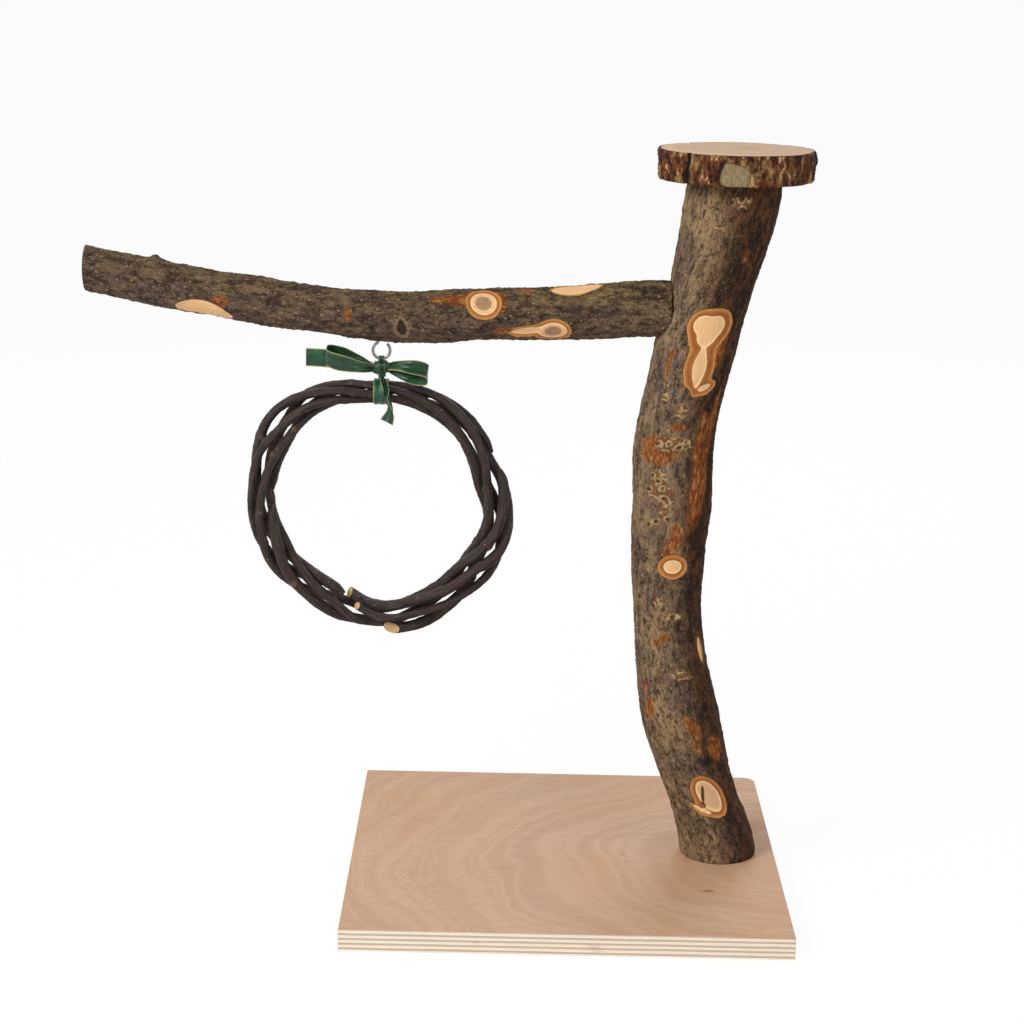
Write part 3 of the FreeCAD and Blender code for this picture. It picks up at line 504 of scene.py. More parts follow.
def cane_material():
    """Dry vine: dark red-brown wrinkled bark with painted shade in the grooves, paler ridges that are
    partly worn and partly painted highlight, bare cut ends.
    """
    s = Shade("cane_bark")
    skin = s.attribute("skin", "Vector")
    streak = s.grain(skin, 0.1, 0.9, 5, 0.65)
    fine = s.grain(skin, 0.4, 2.2, 4, 0.7)
    broad = s.grain(skin, 0.4, 0.07, 3, 0.5)
    # darker down the grooves and paler along the ridges of the relief: painted shade and painted highlight
    tone = s.ramp(streak, [(0.38, rgb(8, 3, 2)), (0.5, rgb(28, 15, 13)), (0.62, rgb(76, 56, 50))])
    tone = s.coats(
        tone,
        (broad, 0.48, 0.62, 0.45, rgb(48, 25, 18)),
        (fine, 0.56, 0.68, 0.5, rgb(124, 98, 80)),
        (fine, 0.46, 0.38, 0.6, rgb(14, 7, 6)))
    wart = s.step(s.cells(skin, 0.16), 0.13, 0.05)
    tone = s.mix(wart * 0.7, tone, rgb(150, 122, 96))
    tone = s.mix(s.step(s.attribute("bud"), 0.3, 1.0) * 0.5, tone, rgb(120, 84, 58))
    cut = s.attribute("cut")
    bare = s.ramp(s.noise(skin, 1.4, 4, 0.6), [(0.3, rgb(196, 142, 82)), (0.65, rgb(240, 204, 150))])
    tone = s.mix(s.step(cut + fine * 0.3, 0.6, 0.7), tone, bare)
    relief = streak * 1.2 + fine * 0.35
    return s.finish(tone, 0.5 + fine * 0.2, s.bump(relief, 0.9, 0.9), Specular_IOR_Level=0.4)


def satin_material():
    """Green satin: fine cross ribs, a soft sheen, and metallic gold threads along both edges."""
    s = Shade("green_satin")
    across = s.attribute("across")
    along = s.attribute("along")
    edge = abs(across)
    place = s.place_mm()
    cloudy = s.noise(place, 0.18, 3, 0.55)
    weft = s.math("SINE", along * 15.0)
    fine = s.noise(place, 3.0, 3, 0.6)
    green = s.ramp(cloudy * 0.8 + fine * 0.2,
                   [(0.3, rgb(0, 38, 16)), (0.55, rgb(4, 72, 36)), (0.75, rgb(34, 114, 64))])
    # painted shade: dark streaks along the ribbon stand for the shade in its creases
    fold_shade = s.noise(s.node("CombineXYZ", X=across * 2.2, Y=along * 0.05, Z=0.0).outputs[0], 1.0, 3, 0.5,
                    0.3)
    green = s.coats(
        green,
        (fold_shade, 0.52, 0.36, 0.75, rgb(0, 26, 10)),
        (weft, 0.3, 1.0, 0.12, rgb(0, 52, 28)))
    # the gold is palest on the raised beads of the thread: painted glints
    thread = s.math("SINE", along * 9.0) + fine * 1.6
    gold = s.ramp(s.step(thread, -0.2, 1.6), [(0.0, rgb(84, 84, 24)), (0.5, rgb(146, 138, 62)),
                                             (1.0, rgb(212, 202, 130))])
    share = s.step(edge, 0.88, 0.92) * s.step(thread, -0.9, 0.1, 0.4, 1.0)
    tone = s.mix(share, green, gold)
    relief = weft * 0.25 + share * thread * 0.6
    return s.finish(tone, 0.42 - share * 0.1, s.bump(relief, 0.08, 0.7), Sheen_Weight=0.25,
                    Sheen_Roughness=0.4, Specular_IOR_Level=0.55, Anisotropic=0.5)


def steel_material(name, tone, dull, shine):
    """Plated wire or screw: scratched along, duller and darker in spots."""
    s = Shade(name)
    place = s.place_mm()
    spots = s.noise(place, 0.9, 4, 0.65)
    fine = s.grain(place, 4, 2.5, 4, 0.6)
    base = s.mix(s.step(spots, 0.45, 0.7) * 0.6, tone, dull)
    rough = shine + fine * 0.25
    return s.finish(base, rough, s.bump(fine, 0.05, 0.5), Metallic=1.0)


def dowel_material():
    """Turned beech with short dark rays."""
    s = Shade("dowel_beech")
    place = s.place_mm()
    grain = s.grain(place, 0.06, 1.2, 5, 0.6)
    rays = s.step(s.noise(s.scaled(place, 2, 2, 0.5), 1.0, 3, 0.6), 0.6, 0.72)
    tone = s.ramp(grain, [(0.3, rgb(204, 168, 120)), (0.7, rgb(230, 200, 156))])
    tone = s.mix(rays * 0.4, tone, rgb(168, 122, 80))
    return s.finish(tone, 0.6, s.bump(grain, 0.3, 0.6))


def floor_material():
    """Pale matt paper that the camera sees nearly white, with the object's shadow kept."""
    s = Shade("floor_paper")
    matt = s.node("BsdfDiffuse", Color=(0.86, 0.86, 0.86, 1))
    glow = s.node("Emission", Color=(1, 1, 1, 1), Strength=1.015)
    s.output("Material", s.blend(s.seen_directly() * 0.92, matt, glow))
    return s.material


# ---------------------------------------------------------------- meshes

def new_piece(name, points, faces, material, values):
    """A mesh object from points in millimetres; values are per-point attributes."""
    mesh = bpy.data.meshes.new(name)
    mesh.from_pydata([tuple(p * MM) for p in points], [], faces)
    for key, numbers in values.items():
        kind = "FLOAT_VECTOR" if isinstance(numbers[0], (tuple, Vector)) else "FLOAT"
        layer = mesh.attributes.new(key, kind, "POINT")
        if kind == "FLOAT_VECTOR":
            layer.data.foreach_set("vector", [c for v in numbers for c in v])
        else:
            layer.data.foreach_set("value", numbers)
    mesh.polygons.foreach_set("use_smooth", [True] * len(mesh.polygons))
    mesh.materials.append(material)
    mesh.update()
    piece = bpy.data.objects.new(name, mesh)
    bpy.context.scene.collection.objects.link(piece)
    return piece


def stands_for(piece, body, node):
    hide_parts(node)
    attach(piece, body)


def give(node, material):
    data = NODES[node].data
    data.materials.clear()
    data.materials.append(material)


def grid_faces(rows, columns):
    """Quads round a closed tube of rows x columns points."""
    return [(i * columns + j, i * columns + (j + 1) % columns,
             (i + 1) * columns + (j + 1) % columns, (i + 1) * columns + j)
            for i in range(rows - 1) for j in range(columns)]


class Surface:
    """The points, faces and per-point values of one mesh.

    A point's skin is its place on the bark, which relief and materials follow.
    """

    def __init__(self, *keys):
        self.points, self.skins, self.faces = [], [], []
        self.values = {key: [] for key in keys}

    def add(self, place, skin, *numbers):
        self.points.append(place)
        self.skins.append(skin)
        for key, number in zip(self.values, numbers):
            self.values[key].append(number)
        return len(self.points) - 1

    def band(self, outer, inner, upward):
        """Quads between two loops of the same count."""
        for j in range(len(outer)):
            k = (j + 1) % len(outer)
            a, b, c, d = outer[j], outer[k], inner[k], inner[j]
            self.faces.append((a, b, c, d) if upward else (b, a, d, c))

    def cap(self, loop, tip, upward):
        """Triangles from a loop to its middle point."""
        for a, b in zip(loop, loop[1:] + loop[:1]):
            self.faces.append((a, b, tip) if upward else (b, a, tip))

    def close(self, base, columns, shares, skin_at, numbers, upward):
        """Closes a tube's end: loops drawn in to a middle point, whose skin takes the last share."""
        rim = range(base, base + columns)
        middle = sum((self.points[k] for k in rim), Vector()) / columns
        loop = list(rim)
        for share in shares[:-1]:
            made = [self.add(middle + (self.points[k] - middle) * share,
                             skin_at(self.skins[k], share), *numbers) for k in rim]
            self.band(loop, made, upward)
            loop = made
        self.cap(loop, self.add(middle, skin_at(self.skins[base], shares[-1]), *numbers), upward)

    def piece(self, name, material):
        return new_piece(name, self.points, self.faces, material, dict(self.values, skin=self.skins))


def relief(skin, stretch, scale, octaves=4):
    """Fractal noise along a limb's own skin, stretched along its length."""
    place = Vector((skin.x * scale, skin.y * scale, skin.z * scale * stretch))
    return noise.fractal(place, 0.9, 2.1, octaves, noise_basis="PERLIN_ORIGINAL")


# ---------------------------------------------------------------- knots and peeled patches

class Mark:
    """A patch on a limb's skin: its distance along, angle round, half sizes and turn.

    point above 0 draws its ends out.
    """

    def __init__(self, along, angle, long, wide, turn=0.0, point=0.0, rim=3.0, rings=0.0, raised=0.0,
                 ridge=0.0, square=False):
        self.along, self.angle = along, angle
        self.long, self.wide = long, wide
        self.turn = math.radians(turn)
        self.point, self.rim, self.rings = point, rim, rings
        self.raised, self.ridge, self.square = raised, ridge, square

    def share(self, along, angle, radius):
        """0 in the middle, 1 on the outline; and the distance from the outline in mm."""
        up = along - self.along
        side = math.radians((angle - self.angle + 180) % 360 - 180) * radius
        u = (up * math.cos(self.turn) + side * math.sin(self.turn)) / self.long
        v = (side * math.cos(self.turn) - up * math.sin(self.turn)) / self.wide
        narrowing = 1 - self.point * min(1.0, u * u)
        v /= max(0.25, narrowing)
        if self.square:
            part = (u ** 4 + v ** 4) ** 0.25
        else:
            part = math.hypot(u, v)
        if part < 0.3:
            return part, (part - 1) * min(self.long, self.wide)
        slope = math.hypot(u / self.long, v / (self.wide * max(0.25, narrowing))) / part
        beyond = max(0.0, min(1.0, (abs(u) - 0.8) / 0.4))
        return part, (1 - beyond) * (part - 1) / slope + beyond * math.hypot(up, side) * (1 - 1 / part)


def group(*places, **shared):
    """Marks from rows of along, angle, half sizes and turn, which share the rest."""
    return [Mark(*place, **shared) for place in places]


POST_WOOD = [
    Mark(384, -95, 6.2, 6.4, rim=4.2),
    Mark(383, -77, 7.0, 6.8, rim=5.4),
    Mark(376, -85, 7.0, 6.4, -10, rim=5.6),
    Mark(355, -83, 14.0, 4.8, -3, point=0.5, rim=6.0),
    Mark(341, -68, 2.0, 4.6, -24, rim=3.4),
    Mark(216, -86, 4.9, 6.4, rim=4.0),
    Mark(50, -77, 12.0, 8.0, -16, rim=3.8, rings=0.5),
    Mark(40, -97, 1.5, 6.0, 28, rim=2.2),
    Mark(154, -33, 9.0, 1.7, -4, point=0.4, rim=1.4),
    Mark(331, 95, 16.0, 9.0, 8, rim=4.0),
    Mark(196, 128, 8.0, 8.0, rim=4.5, rings=1.0),
    Mark(92, 70, 13.0, 7.0, -12, rim=4.0),
    Mark(430, 40, 9.0, 6.5, rim=3.5, rings=1.0),
]
POST_RUST = [
    *group((223, -54, 3.6, 3.4), (312, -54, 11.0, 4.0), (316, -36, 24.0, 3.4), (284, -50, 20.0, 6.4, -8),
           (262, -58, 18.0, 5.4, -8), (246, -64, 8.0, 3.6, -6), (240, -84, 8.0, 3.4, -8),
           (228, -92, 9.0, 4.4, 6)),
    Mark(297, -118, 10.0, 14.0, raised=2.6),
    Mark(301, -100, 6.0, 10.0, raised=2.0),
    Mark(314, -93, 2.4, 4.4, raised=1.0),
    *group((372, -58, 18.0, 3.4), (160, -114, 2.6, 4.0, 10), (165, -100, 2.8, 3.8, -14),
           (127, -144, 5.0, 1.8), (112, -140, 8.0, 4.0, 10), (104, -80, 6.0, 3.2, -20),
           (97, -70, 6.0, 2.6, 20), (86, -76, 5.0, 2.6, -10), (84, -44, 9.0, 7.0), (430, -62, 4.0, 1.8),
           (356, -128, 12.0, 2.0)),
]
POST_DEEP = [
    Mark(304, -101, 3.6, 4.4, raised=-1.6),
    *group((234, -50, 20.0, 9.0), (282, -30, 32.0, 4.0), (76, -66, 5.0, 7.0), (52, -86, 6.0, 1.0, 16)),
    Mark(43, -94, 2.0, 2.6, raised=-1.4),
    *group((168, -78, 9.0, 2.4), (400, -84, 5.0, 3.0), (204, -100, 8.0, 2.6, 20)),
]
POST_CRUST = [
    *group((325, -93, 5.2, 4.8), (302, -95, 5.0, 13.0), (278, -114, 6.0, 6.0), (266, -104, 7.0, 7.0, 30),
           raised=1.0),
    *group((268, -124, 4.0, 3.4), (253, -105, 6.0, 4.0, -20), (246, -120, 3.0, 4.0), (334, -120, 3.0, 3.4),
           raised=0.8),
    Mark(343, -123, 2.2, 2.6, raised=0.6),
    Mark(179.5, -85, 2.8, 7.4, raised=0.8),
    Mark(190, -108, 3.0, 3.0, raised=0.6),
    Mark(138, -78, 3.6, 7.4, raised=0.8),
    *group((371, -100, 2.2, 4.0, 20), (448, -105, 2.2, 4.0), (466, -84, 4.0, 7.0), raised=0.6),
    *group((90, 160, 9.0, 9.0), (260, 60, 10.0, 8.0), raised=0.8),
]
PERCH_WOOD = [
    Mark(126, 151.5, 8.9, 8.9, rim=3.4, rings=1.0),
    Mark(64, 104, 16.5, 7.4, 6, point=0.3, rim=1.8),
    Mark(79, -143, 9.4, 7.6, rim=3.0, rings=1.0),
    Mark(96, -146, 12.0, 3.0, 8, point=0.5, rim=2.2),
    Mark(314, -127, 19.0, 10.0, -4, point=0.3, rim=0.8),
    Mark(226, 20, 12.0, 7.0, rim=3.6, rings=1.0),
    Mark(30, -20, 14.0, 6.0, 10, rim=3.0),
]
PERCH_RUST = group(
    (141, 148, 8.0, 4.6), (151, 145, 8.0, 2.4, 6), (158, 152, 4.0, 2.4, -30), (116, 148, 5.0, 9.0),
    (98.3, 110, 5.0, 3.4), (217, -157, 2.4, 3.4), (108, -146, 12.0, 2.0, 6), (302, -172, 5.0, 3.4))
PERCH_DEEP = [Mark(180.5, -140, 2.6, 4.4, 8)]
PERCH_CRUST = [Mark(205, 40, 9.0, 6.0, raised=0.5)]
PERCH_BUMPS = [
    Mark(347, 80, 5.0, 6.5, raised=3.4),
    Mark(180.5, -140, 5.4, 7.4, ridge=1.0),
    *group((140, 110, 9.0, 10.0), (255, 100, 4.0, 4.0), raised=0.8),
]
UNION_SOFTNESS = 1.6
# the distance given where no outline is near
FAR = 30.0
# how far past its half length a mark's outline and its bump still count
OUTLINE_REACH = 26
BUMP_REACH = 20


def nearest(marks, along, angle, radius, grow=0.0):
    """Distance to the outline of the joined marks, and ring share of the ringed ones."""
    total, ring = 0.0, 1.5
    for mark in marks:
        if abs(along - mark.along) > mark.long + OUTLINE_REACH:
            continue
        part, gap = mark.share(along, angle, radius)
        total += math.exp(-max(-8.0, min(30.0, gap - mark.rim * grow)) / UNION_SOFTNESS)
        if mark.rings and part < 1.2:
            ring = min(ring, part) if mark.rings == 1.0 else 2.0 + part
    return (FAR if total <= 1e-8 else -UNION_SOFTNESS * math.log(total)), ring


def bell(value, width):
    return math.exp(-(value / width) ** 2)


def fading(amount, value):
    """The whole amount far below 0, and nothing far above it."""
    return amount / (1 + math.exp(max(-20.0, min(20.0, value))))


def around(radius, turn, along):
    return Vector((radius * math.cos(turn), radius * math.sin(turn), along))


def bridged(values):
    """Fills the missing values with straight lines between their neighbours."""
    known = [i for i, value in enumerate(values) if value is not None]
    out = []
    for i, value in enumerate(values):
        if value is None:
            before = [k for k in known if k < i][-1:] or known[:1]
            after = [k for k in known if k > i][:1] or known[-1:]
            share = (i - before[0]) / max(1, after[0] - before[0])
            value = values[before[0]] + (values[after[0]] - values[before[0]]) * max(0.0, min(1.0, share))
        out.append(value)
    return out


BARE_KEYS = ("wood", "rim", "rust", "deep", "crust")
SAWN = (FAR,) * len(BARE_KEYS) + (1.5, 0.0, 1.0)
# how far a reading may jump from the last good one, and how much more per row that was passed over
SPAN_JUMP = 0.7
RADIUS_JUMP = 0.5
JUMP_PER_ROW = 0.2
SMOOTHING_MM = 8
RAY_START = 70.0


class Limb:
    """A limb's CAD shape, measured by rays from outside at rows along its axis.

    axis is 2 for the upright post and 0 for the perch, which is measured from its
    right end. The skin's angle runs from +X (post) or +Y (perch).
    """

    def __init__(self, node, axis, rows, columns):
        self.axis, self.rows, self.columns = axis, rows, columns
        self.low, self.high = box_mm(node)
        self.length = self.high[axis] - self.low[axis]
        mesh = bmesh.new()
        mesh.from_mesh(NODES[node].data)
        self.tree = BVHTree.FromBMesh(mesh)
        mesh.free()
        upright = axis == 2
        self.first, self.second = (ALONG_X, ALONG_Y) if upright else (ALONG_Y, ALONG_Z)
        self.heading, self.start = (1.0, self.low[2]) if upright else (-1.0, self.high[0])
        first_row = 0.15
        self.places = [first_row + (self.length - 2 * first_row) * i / (rows - 1) for i in range(rows)]
        self.angles = [360.0 * j / columns for j in range(columns)]
        self.spokes = [self.first * math.cos(turn) + self.second * math.sin(turn)
                       for turn in map(math.radians, self.angles)]

    def outwards(self):
        """The rows from half-way to each end."""
        half_way = self.rows // 2
        return range(half_way, self.rows), range(half_way, -1, -1)

    def hit(self, centre, direction):
        origin = (centre + direction * RAY_START) * MM
        found = self.tree.ray_cast(origin, -direction)[0]
        return None if found is None else (found / MM - centre).dot(direction)

    def middles(self):
        """The middle line: halfway between opposite hits, bridged over bores and cuts, and smoothed."""
        axes = [k for k in range(3) if k != self.axis]
        lines = {k: [None] * self.rows for k in axes}
        middle = (self.low + self.high) / 2
        for order in self.outwards():
            span, waited = {}, {}
            for i in order:
                centre = middle.copy()
                centre[self.axis] = self.start + self.heading * self.places[i]
                for attempt in range(3):
                    for k, direction in zip(axes, (self.first, self.second)):
                        a, b = self.hit(centre, direction), self.hit(centre, -direction)
                        good = a is not None and b is not None
                        if good and k in span:
                            good = abs(a + b - span[k]) < SPAN_JUMP + JUMP_PER_ROW * waited[k]
                        if good:
                            centre += direction * (a - b) / 2
                        if attempt == 2 and good:
                            lines[k][i] = centre[k]
                            span[k], waited[k] = a + b, 0
                        elif attempt == 2:
                            waited[k] = waited.get(k, 0) + 1
                middle = centre
                if i == self.rows // 2:
                    halfway_middle = centre.copy()
            middle = halfway_middle
        window = int(SMOOTHING_MM * self.rows / self.length)
        bridges = {k: bridged(lines[k]) for k in axes}
        out = []
        for i in range(self.rows):
            centre = Vector()
            centre[self.axis] = self.start + self.heading * self.places[i]
            reach_rows = min(window, i, self.rows - 1 - i)
            for k in axes:
                near = bridges[k][i - reach_rows:i + reach_rows + 1]
                centre[k] = sum(near) / len(near)
            out.append(centre)
        return out

    def radii(self, middles):
        """Each row's radii, bridged where a ray fell into a bore or a cut."""
        measured = [[self.hit(centre, spoke) for spoke in self.spokes] for centre in middles]
        for j in range(self.columns):
            kept = [None] * self.rows
            for order in self.outwards():
                last, waited = measured[self.rows // 2][j], 0
                for i in order:
                    radius = measured[i][j]
                    jump = RADIUS_JUMP + JUMP_PER_ROW * waited
                    if radius is None or (last is not None and abs(radius - last) > jump):
                        waited += 1
                    else:
                        kept[i], last, waited = radius, radius, 0
            for i, radius in enumerate(bridged(kept)):
                measured[i][j] = radius
        return measured


def limb_piece(node, axis, rows, columns, marks, material, shade_and_weather_side, roughness):
    """Wraps a limb's CAD shape in a fine skin with bark relief, knots and peeled patches."""
    wood, rust, deep, crust, bumps = marks
    limb = Limb(node, axis, rows, columns)
    middles = limb.middles()
    surface = Surface(*BARE_KEYS, "heart", "shade_and_weather", "sawn")
    for centre, along, radii in zip(middles, limb.places, limb.radii(middles)):
        end = min(1.0, min(along, limb.length - along) / 3.0)
        for angle, direction, radius in zip(limb.angles, limb.spokes, radii):
            skin = around(radius, math.radians(angle), along)
            bare, ring = nearest(wood, along, angle, radius)
            rim = nearest(wood, along, angle, radius, 1.0)[0]
            flaked, dark, pale = (nearest(kind, along, angle, radius)[0] for kind in (rust, deep, crust))
            lift = relief(skin, 0.3, 0.14) * 0.7 + relief(skin, 0.5, 0.5, 3) * roughness
            lift += relief(skin, 0.5, 0.05, 2) * 0.5
            lift *= 0.16 + fading(0.84, -rim * 1.6)
            lift += 0.4 * bell(rim - 0.7, 1.1)
            lift -= fading(0.45, bare * 3.0)
            lift -= fading(0.35, rim * 2.0)
            if ring < 1.0:
                lift += 0.45 * bell(ring - 0.8, 0.14) - 0.3 * bell(ring, 0.5)
            for mark in bumps:
                if abs(along - mark.along) > mark.long + BUMP_REACH:
                    continue
                part = mark.share(along, angle, radius)[0]
                lift += mark.raised * bell(part, 0.8) * (0.8 + 0.5 * noise.noise(skin * 0.35))
                lift += mark.ridge * bell(part - 0.9, 0.28)
            if pale < 2.0:
                lift += 0.8 * noise.noise(skin * 0.6) * bell(max(pale, 0.0), 1.8)
            place = centre + direction * (radius + lift * end)
            surface.add(place, skin, bare, rim, flaked, dark, pale, ring,
                        shade_and_weather_side(along / limb.length, angle), 0.0)
    surface.faces = grid_faces(rows, columns)

    def on_the_cut(skin, share):
        return Vector((skin.x * share, skin.y * share, skin.z))

    for base, far_end in ((0, False), ((rows - 1) * columns, True)):
        surface.close(base, columns, (0.985, 0.7, 0.4, 0.15, 0.0), on_the_cut, SAWN, far_end)
    return surface.piece(node + "_skin", material)


def post_shade_and_weather(share, angle):
    """The post's right side is darker and browner, most of all near its top: darker bark, and painted
    shade.
    """
    top = max(0.0, min(1.0, (share - 0.62) / 0.2))
    side = math.cos(math.radians(angle + 14 + 24 * top))
    return max(0.0, min(1.0, (side - 0.15) / 0.65))


def perch_weather(share, angle):
    """Moss tints the upper side of the perch, less so near its tip."""
    top = 0.5 + 0.5 * math.sin(math.radians(angle))
    return max(0.0, min(1.0, top ** 1.5 * (0.95 - 0.7 * share)))


def make_limbs():
    post_bumps = [mark for mark in POST_RUST + POST_CRUST + POST_DEEP if mark.raised]
    post = limb_piece("post", axis=2, rows=430, columns=170,
                      marks=(POST_WOOD, POST_RUST, POST_DEEP, POST_CRUST, post_bumps),
                      material=bark_material("post"), shade_and_weather_side=post_shade_and_weather, roughness=0.5)
    stands_for(post, "stand", "post")
    perch = limb_piece("perch", axis=0, rows=400, columns=124,
                       marks=(PERCH_WOOD, PERCH_RUST, PERCH_DEEP, PERCH_CRUST, PERCH_BUMPS + PERCH_CRUST),
                       material=bark_material("perch"), shade_and_weather_side=perch_weather, roughness=0.75)
    stands_for(perch, "stand", "perch")


# ---------------------------------------------------------------- platform

def make_platform():
    low, high = box_mm("platform")
    centre = (low + high) / 2
    radius = (high.x - low.x) / 2
    thickness = high.z - low.z
    columns, side_rows, face_rings = 300, 22, 26
    grey_patch = Mark(6.5, -96.0, 8.0, 10.0, 14, square=True)
    surface = Surface("rim", "pith", "crust", "cleft")
    pith = Vector((7.0, 6.0, 0.0))

    def add(place, skin, rim, crust=FAR, cleft=0.0):
        from_pith = (Vector((place.x, place.y, 0)) - Vector((centre.x, centre.y, 0)) - pith).length
        return surface.add(place, skin, rim, from_pith, crust, cleft)

    def outline(angle):
        turn = math.radians(angle)
        wave = 0.9 * math.sin(2 * turn + 0.7) + 0.6 * math.sin(5 * turn) + 0.4 * math.sin(9 * turn + 2)
        return radius - 1.6 + wave * 0.7

    for i in range(side_rows):
        up = thickness * i / (side_rows - 1)
        for j in range(columns):
            angle = 360.0 * j / columns
            turn = math.radians(angle)
            skin = around(radius, turn, up)
            gap = grey_patch.share(up, angle, radius)[1]
            cragged = relief(skin, 0.7, 0.14, 5) * 1.9 + relief(skin, 0.8, 0.5, 3) * 0.7
            if gap < 1.5:
                cragged = cragged * 0.2 - 0.5
            cleft = max(bell((angle - 226.5) * 0.93, 2.0), bell((angle - 47) * 0.93, 1.3),
                        bell((angle - 128) * 0.93, 1.6))
            edge = bell(up, 0.7) + bell(thickness - up, 0.7)
            out = outline(angle) + cragged * (1 - 0.6 * min(1.0, edge)) - 3.0 * cleft - 0.7 * edge
            add(Vector((centre.x + out * math.cos(turn), centre.y + out * math.sin(turn), low.z + up)),
                skin, 1.0, gap, cleft)
    surface.faces = grid_faces(side_rows, columns)
    for base, z, upward in (((side_rows - 1) * columns, high.z, True), (0, low.z, False)):
        ring = list(range(base, base + columns))
        for k in range(1, face_rings + 1):
            share = 1 - (k / (face_rings + 1)) if k > 2 else 1 - 0.012 * k
            made = []
            for j in range(columns):
                outer = surface.points[base + j]
                place = Vector((centre.x + (outer.x - centre.x) * share,
                                centre.y + (outer.y - centre.y) * share, z))
                made.append(add(place, place.copy(), 1.0 if k == 1 else 0.0))
            surface.band(ring, made, upward)
            ring = made
        hub = Vector((centre.x, centre.y, z))
        surface.cap(ring, add(hub, hub.copy(), 0.0), upward)
    stands_for(surface.piece("platform_slice", platform_material()), "stand", "platform")


# ---------------------------------------------------------------- ring of canes

RING_DIAMETER = 160.6
CANE_COUNT = 5
CANE_TURNS = 2
CANE_TWIST_CHANGE = 0.22
CANE_TWIST_WAVES = 3
CANE_SPAN = 352.0
CANE_STARTS = [249.0, 256.0, 272.0, 179.0, 28.0]
CANE_START_SWELL = [1.06, 0.72, 1.02, 1.04, 0.68]
CANE_END_SWELL = [0.72, 1.06, 0.84, 0.76, 1.0]
CANE_THICKNESS = 7.9
# how far each cane's first end is cut back on its near side; 0 for a tip that is tucked in
CUT_BEVELS = [5.0, 4.0, 11.0, 0.0, 0.0]
TIP_TAPER = 9.0
CANE_THICKNESS_AT_WRAP = 5.8
BUNDLE_RADIAL = (7.5, 5.2)
BUNDLE_SIDEWAYS = (7.6, 5.8)
RING_WAVES = [(1, 4.4, -105), (2, 2.7, 75), (3, 1.0, -87), (5, 1.6, 62)]
CANE_GAPS = [(141, 6.0, 16), (329, 4.8, 15), (247, 3.2, 12), (290, 3.6, 13), (14, 2.6, 12), (200, 1.6, 12)]
GAP_SHARED_INWARD = 0.6
OUTERMOST_FROM = 0.35
WRAP_ANGLE = 90.0
WRAP_REACH = 34.0


def pinch(angle):
    away = (angle - WRAP_ANGLE + 180) % 360 - 180
    return math.exp(-(away / WRAP_REACH) ** 2)


def tied(sizes, angle):
    """A bundle half width: loose round the ring and drawn in at the wrap."""
    return sizes[0] - (sizes[0] - sizes[1]) * pinch(angle)


def ring_radius(angle):
    radius = RING_DIAMETER / 2
    for waves, height, turn in RING_WAVES:
        radius += height * math.cos(math.radians(waves * angle + turn))
    return radius


def standoff(angle, outwardness):
    """How far a cane stands out from the bundle, or in where another cane stands out."""
    share = max(0.0, (outwardness - OUTERMOST_FROM) / (1 - OUTERMOST_FROM))
    share = share * share * (3 - 2 * share)
    gap = 0.0
    for place, height, reach in CANE_GAPS:
        away = (angle - place + 180) % 360 - 180
        gap += height * math.exp(-(away / reach) ** 2)
    return gap * (share - GAP_SHARED_INWARD) * (1 - pinch(angle))


def cane_radius(index, angle):
    share = (angle - CANE_STARTS[index]) / CANE_SPAN
    swell = CANE_START_SWELL[index] + (CANE_END_SWELL[index] - CANE_START_SWELL[index]) * share
    side = CANE_THICKNESS / 2 * swell
    return side - (side - CANE_THICKNESS_AT_WRAP / 2) * pinch(angle)


def cane_middle(index, angle, middle):
    turn = math.radians(angle)
    phase = math.radians(360.0 * index / CANE_COUNT) + CANE_TURNS * turn \
        + CANE_TWIST_CHANGE * math.sin(CANE_TWIST_WAVES * turn + 1)
    outwardness = math.cos(phase)
    radius = ring_radius(angle) + tied(BUNDLE_RADIAL, angle) * outwardness + standoff(angle, outwardness)
    return middle + Vector((radius * math.cos(turn), tied(BUNDLE_SIDEWAYS, angle) * math.sin(phase),
                            radius * math.sin(turn)))


def ring_middle():
    """The ring hangs so that its wrapped top fills the ribbon wrap."""
    low, high = box_mm("ribbon_wrap")
    return Vector(((low.x + high.x) / 2, 0, (low.z + high.z) / 2 - ring_radius(WRAP_ANGLE)))


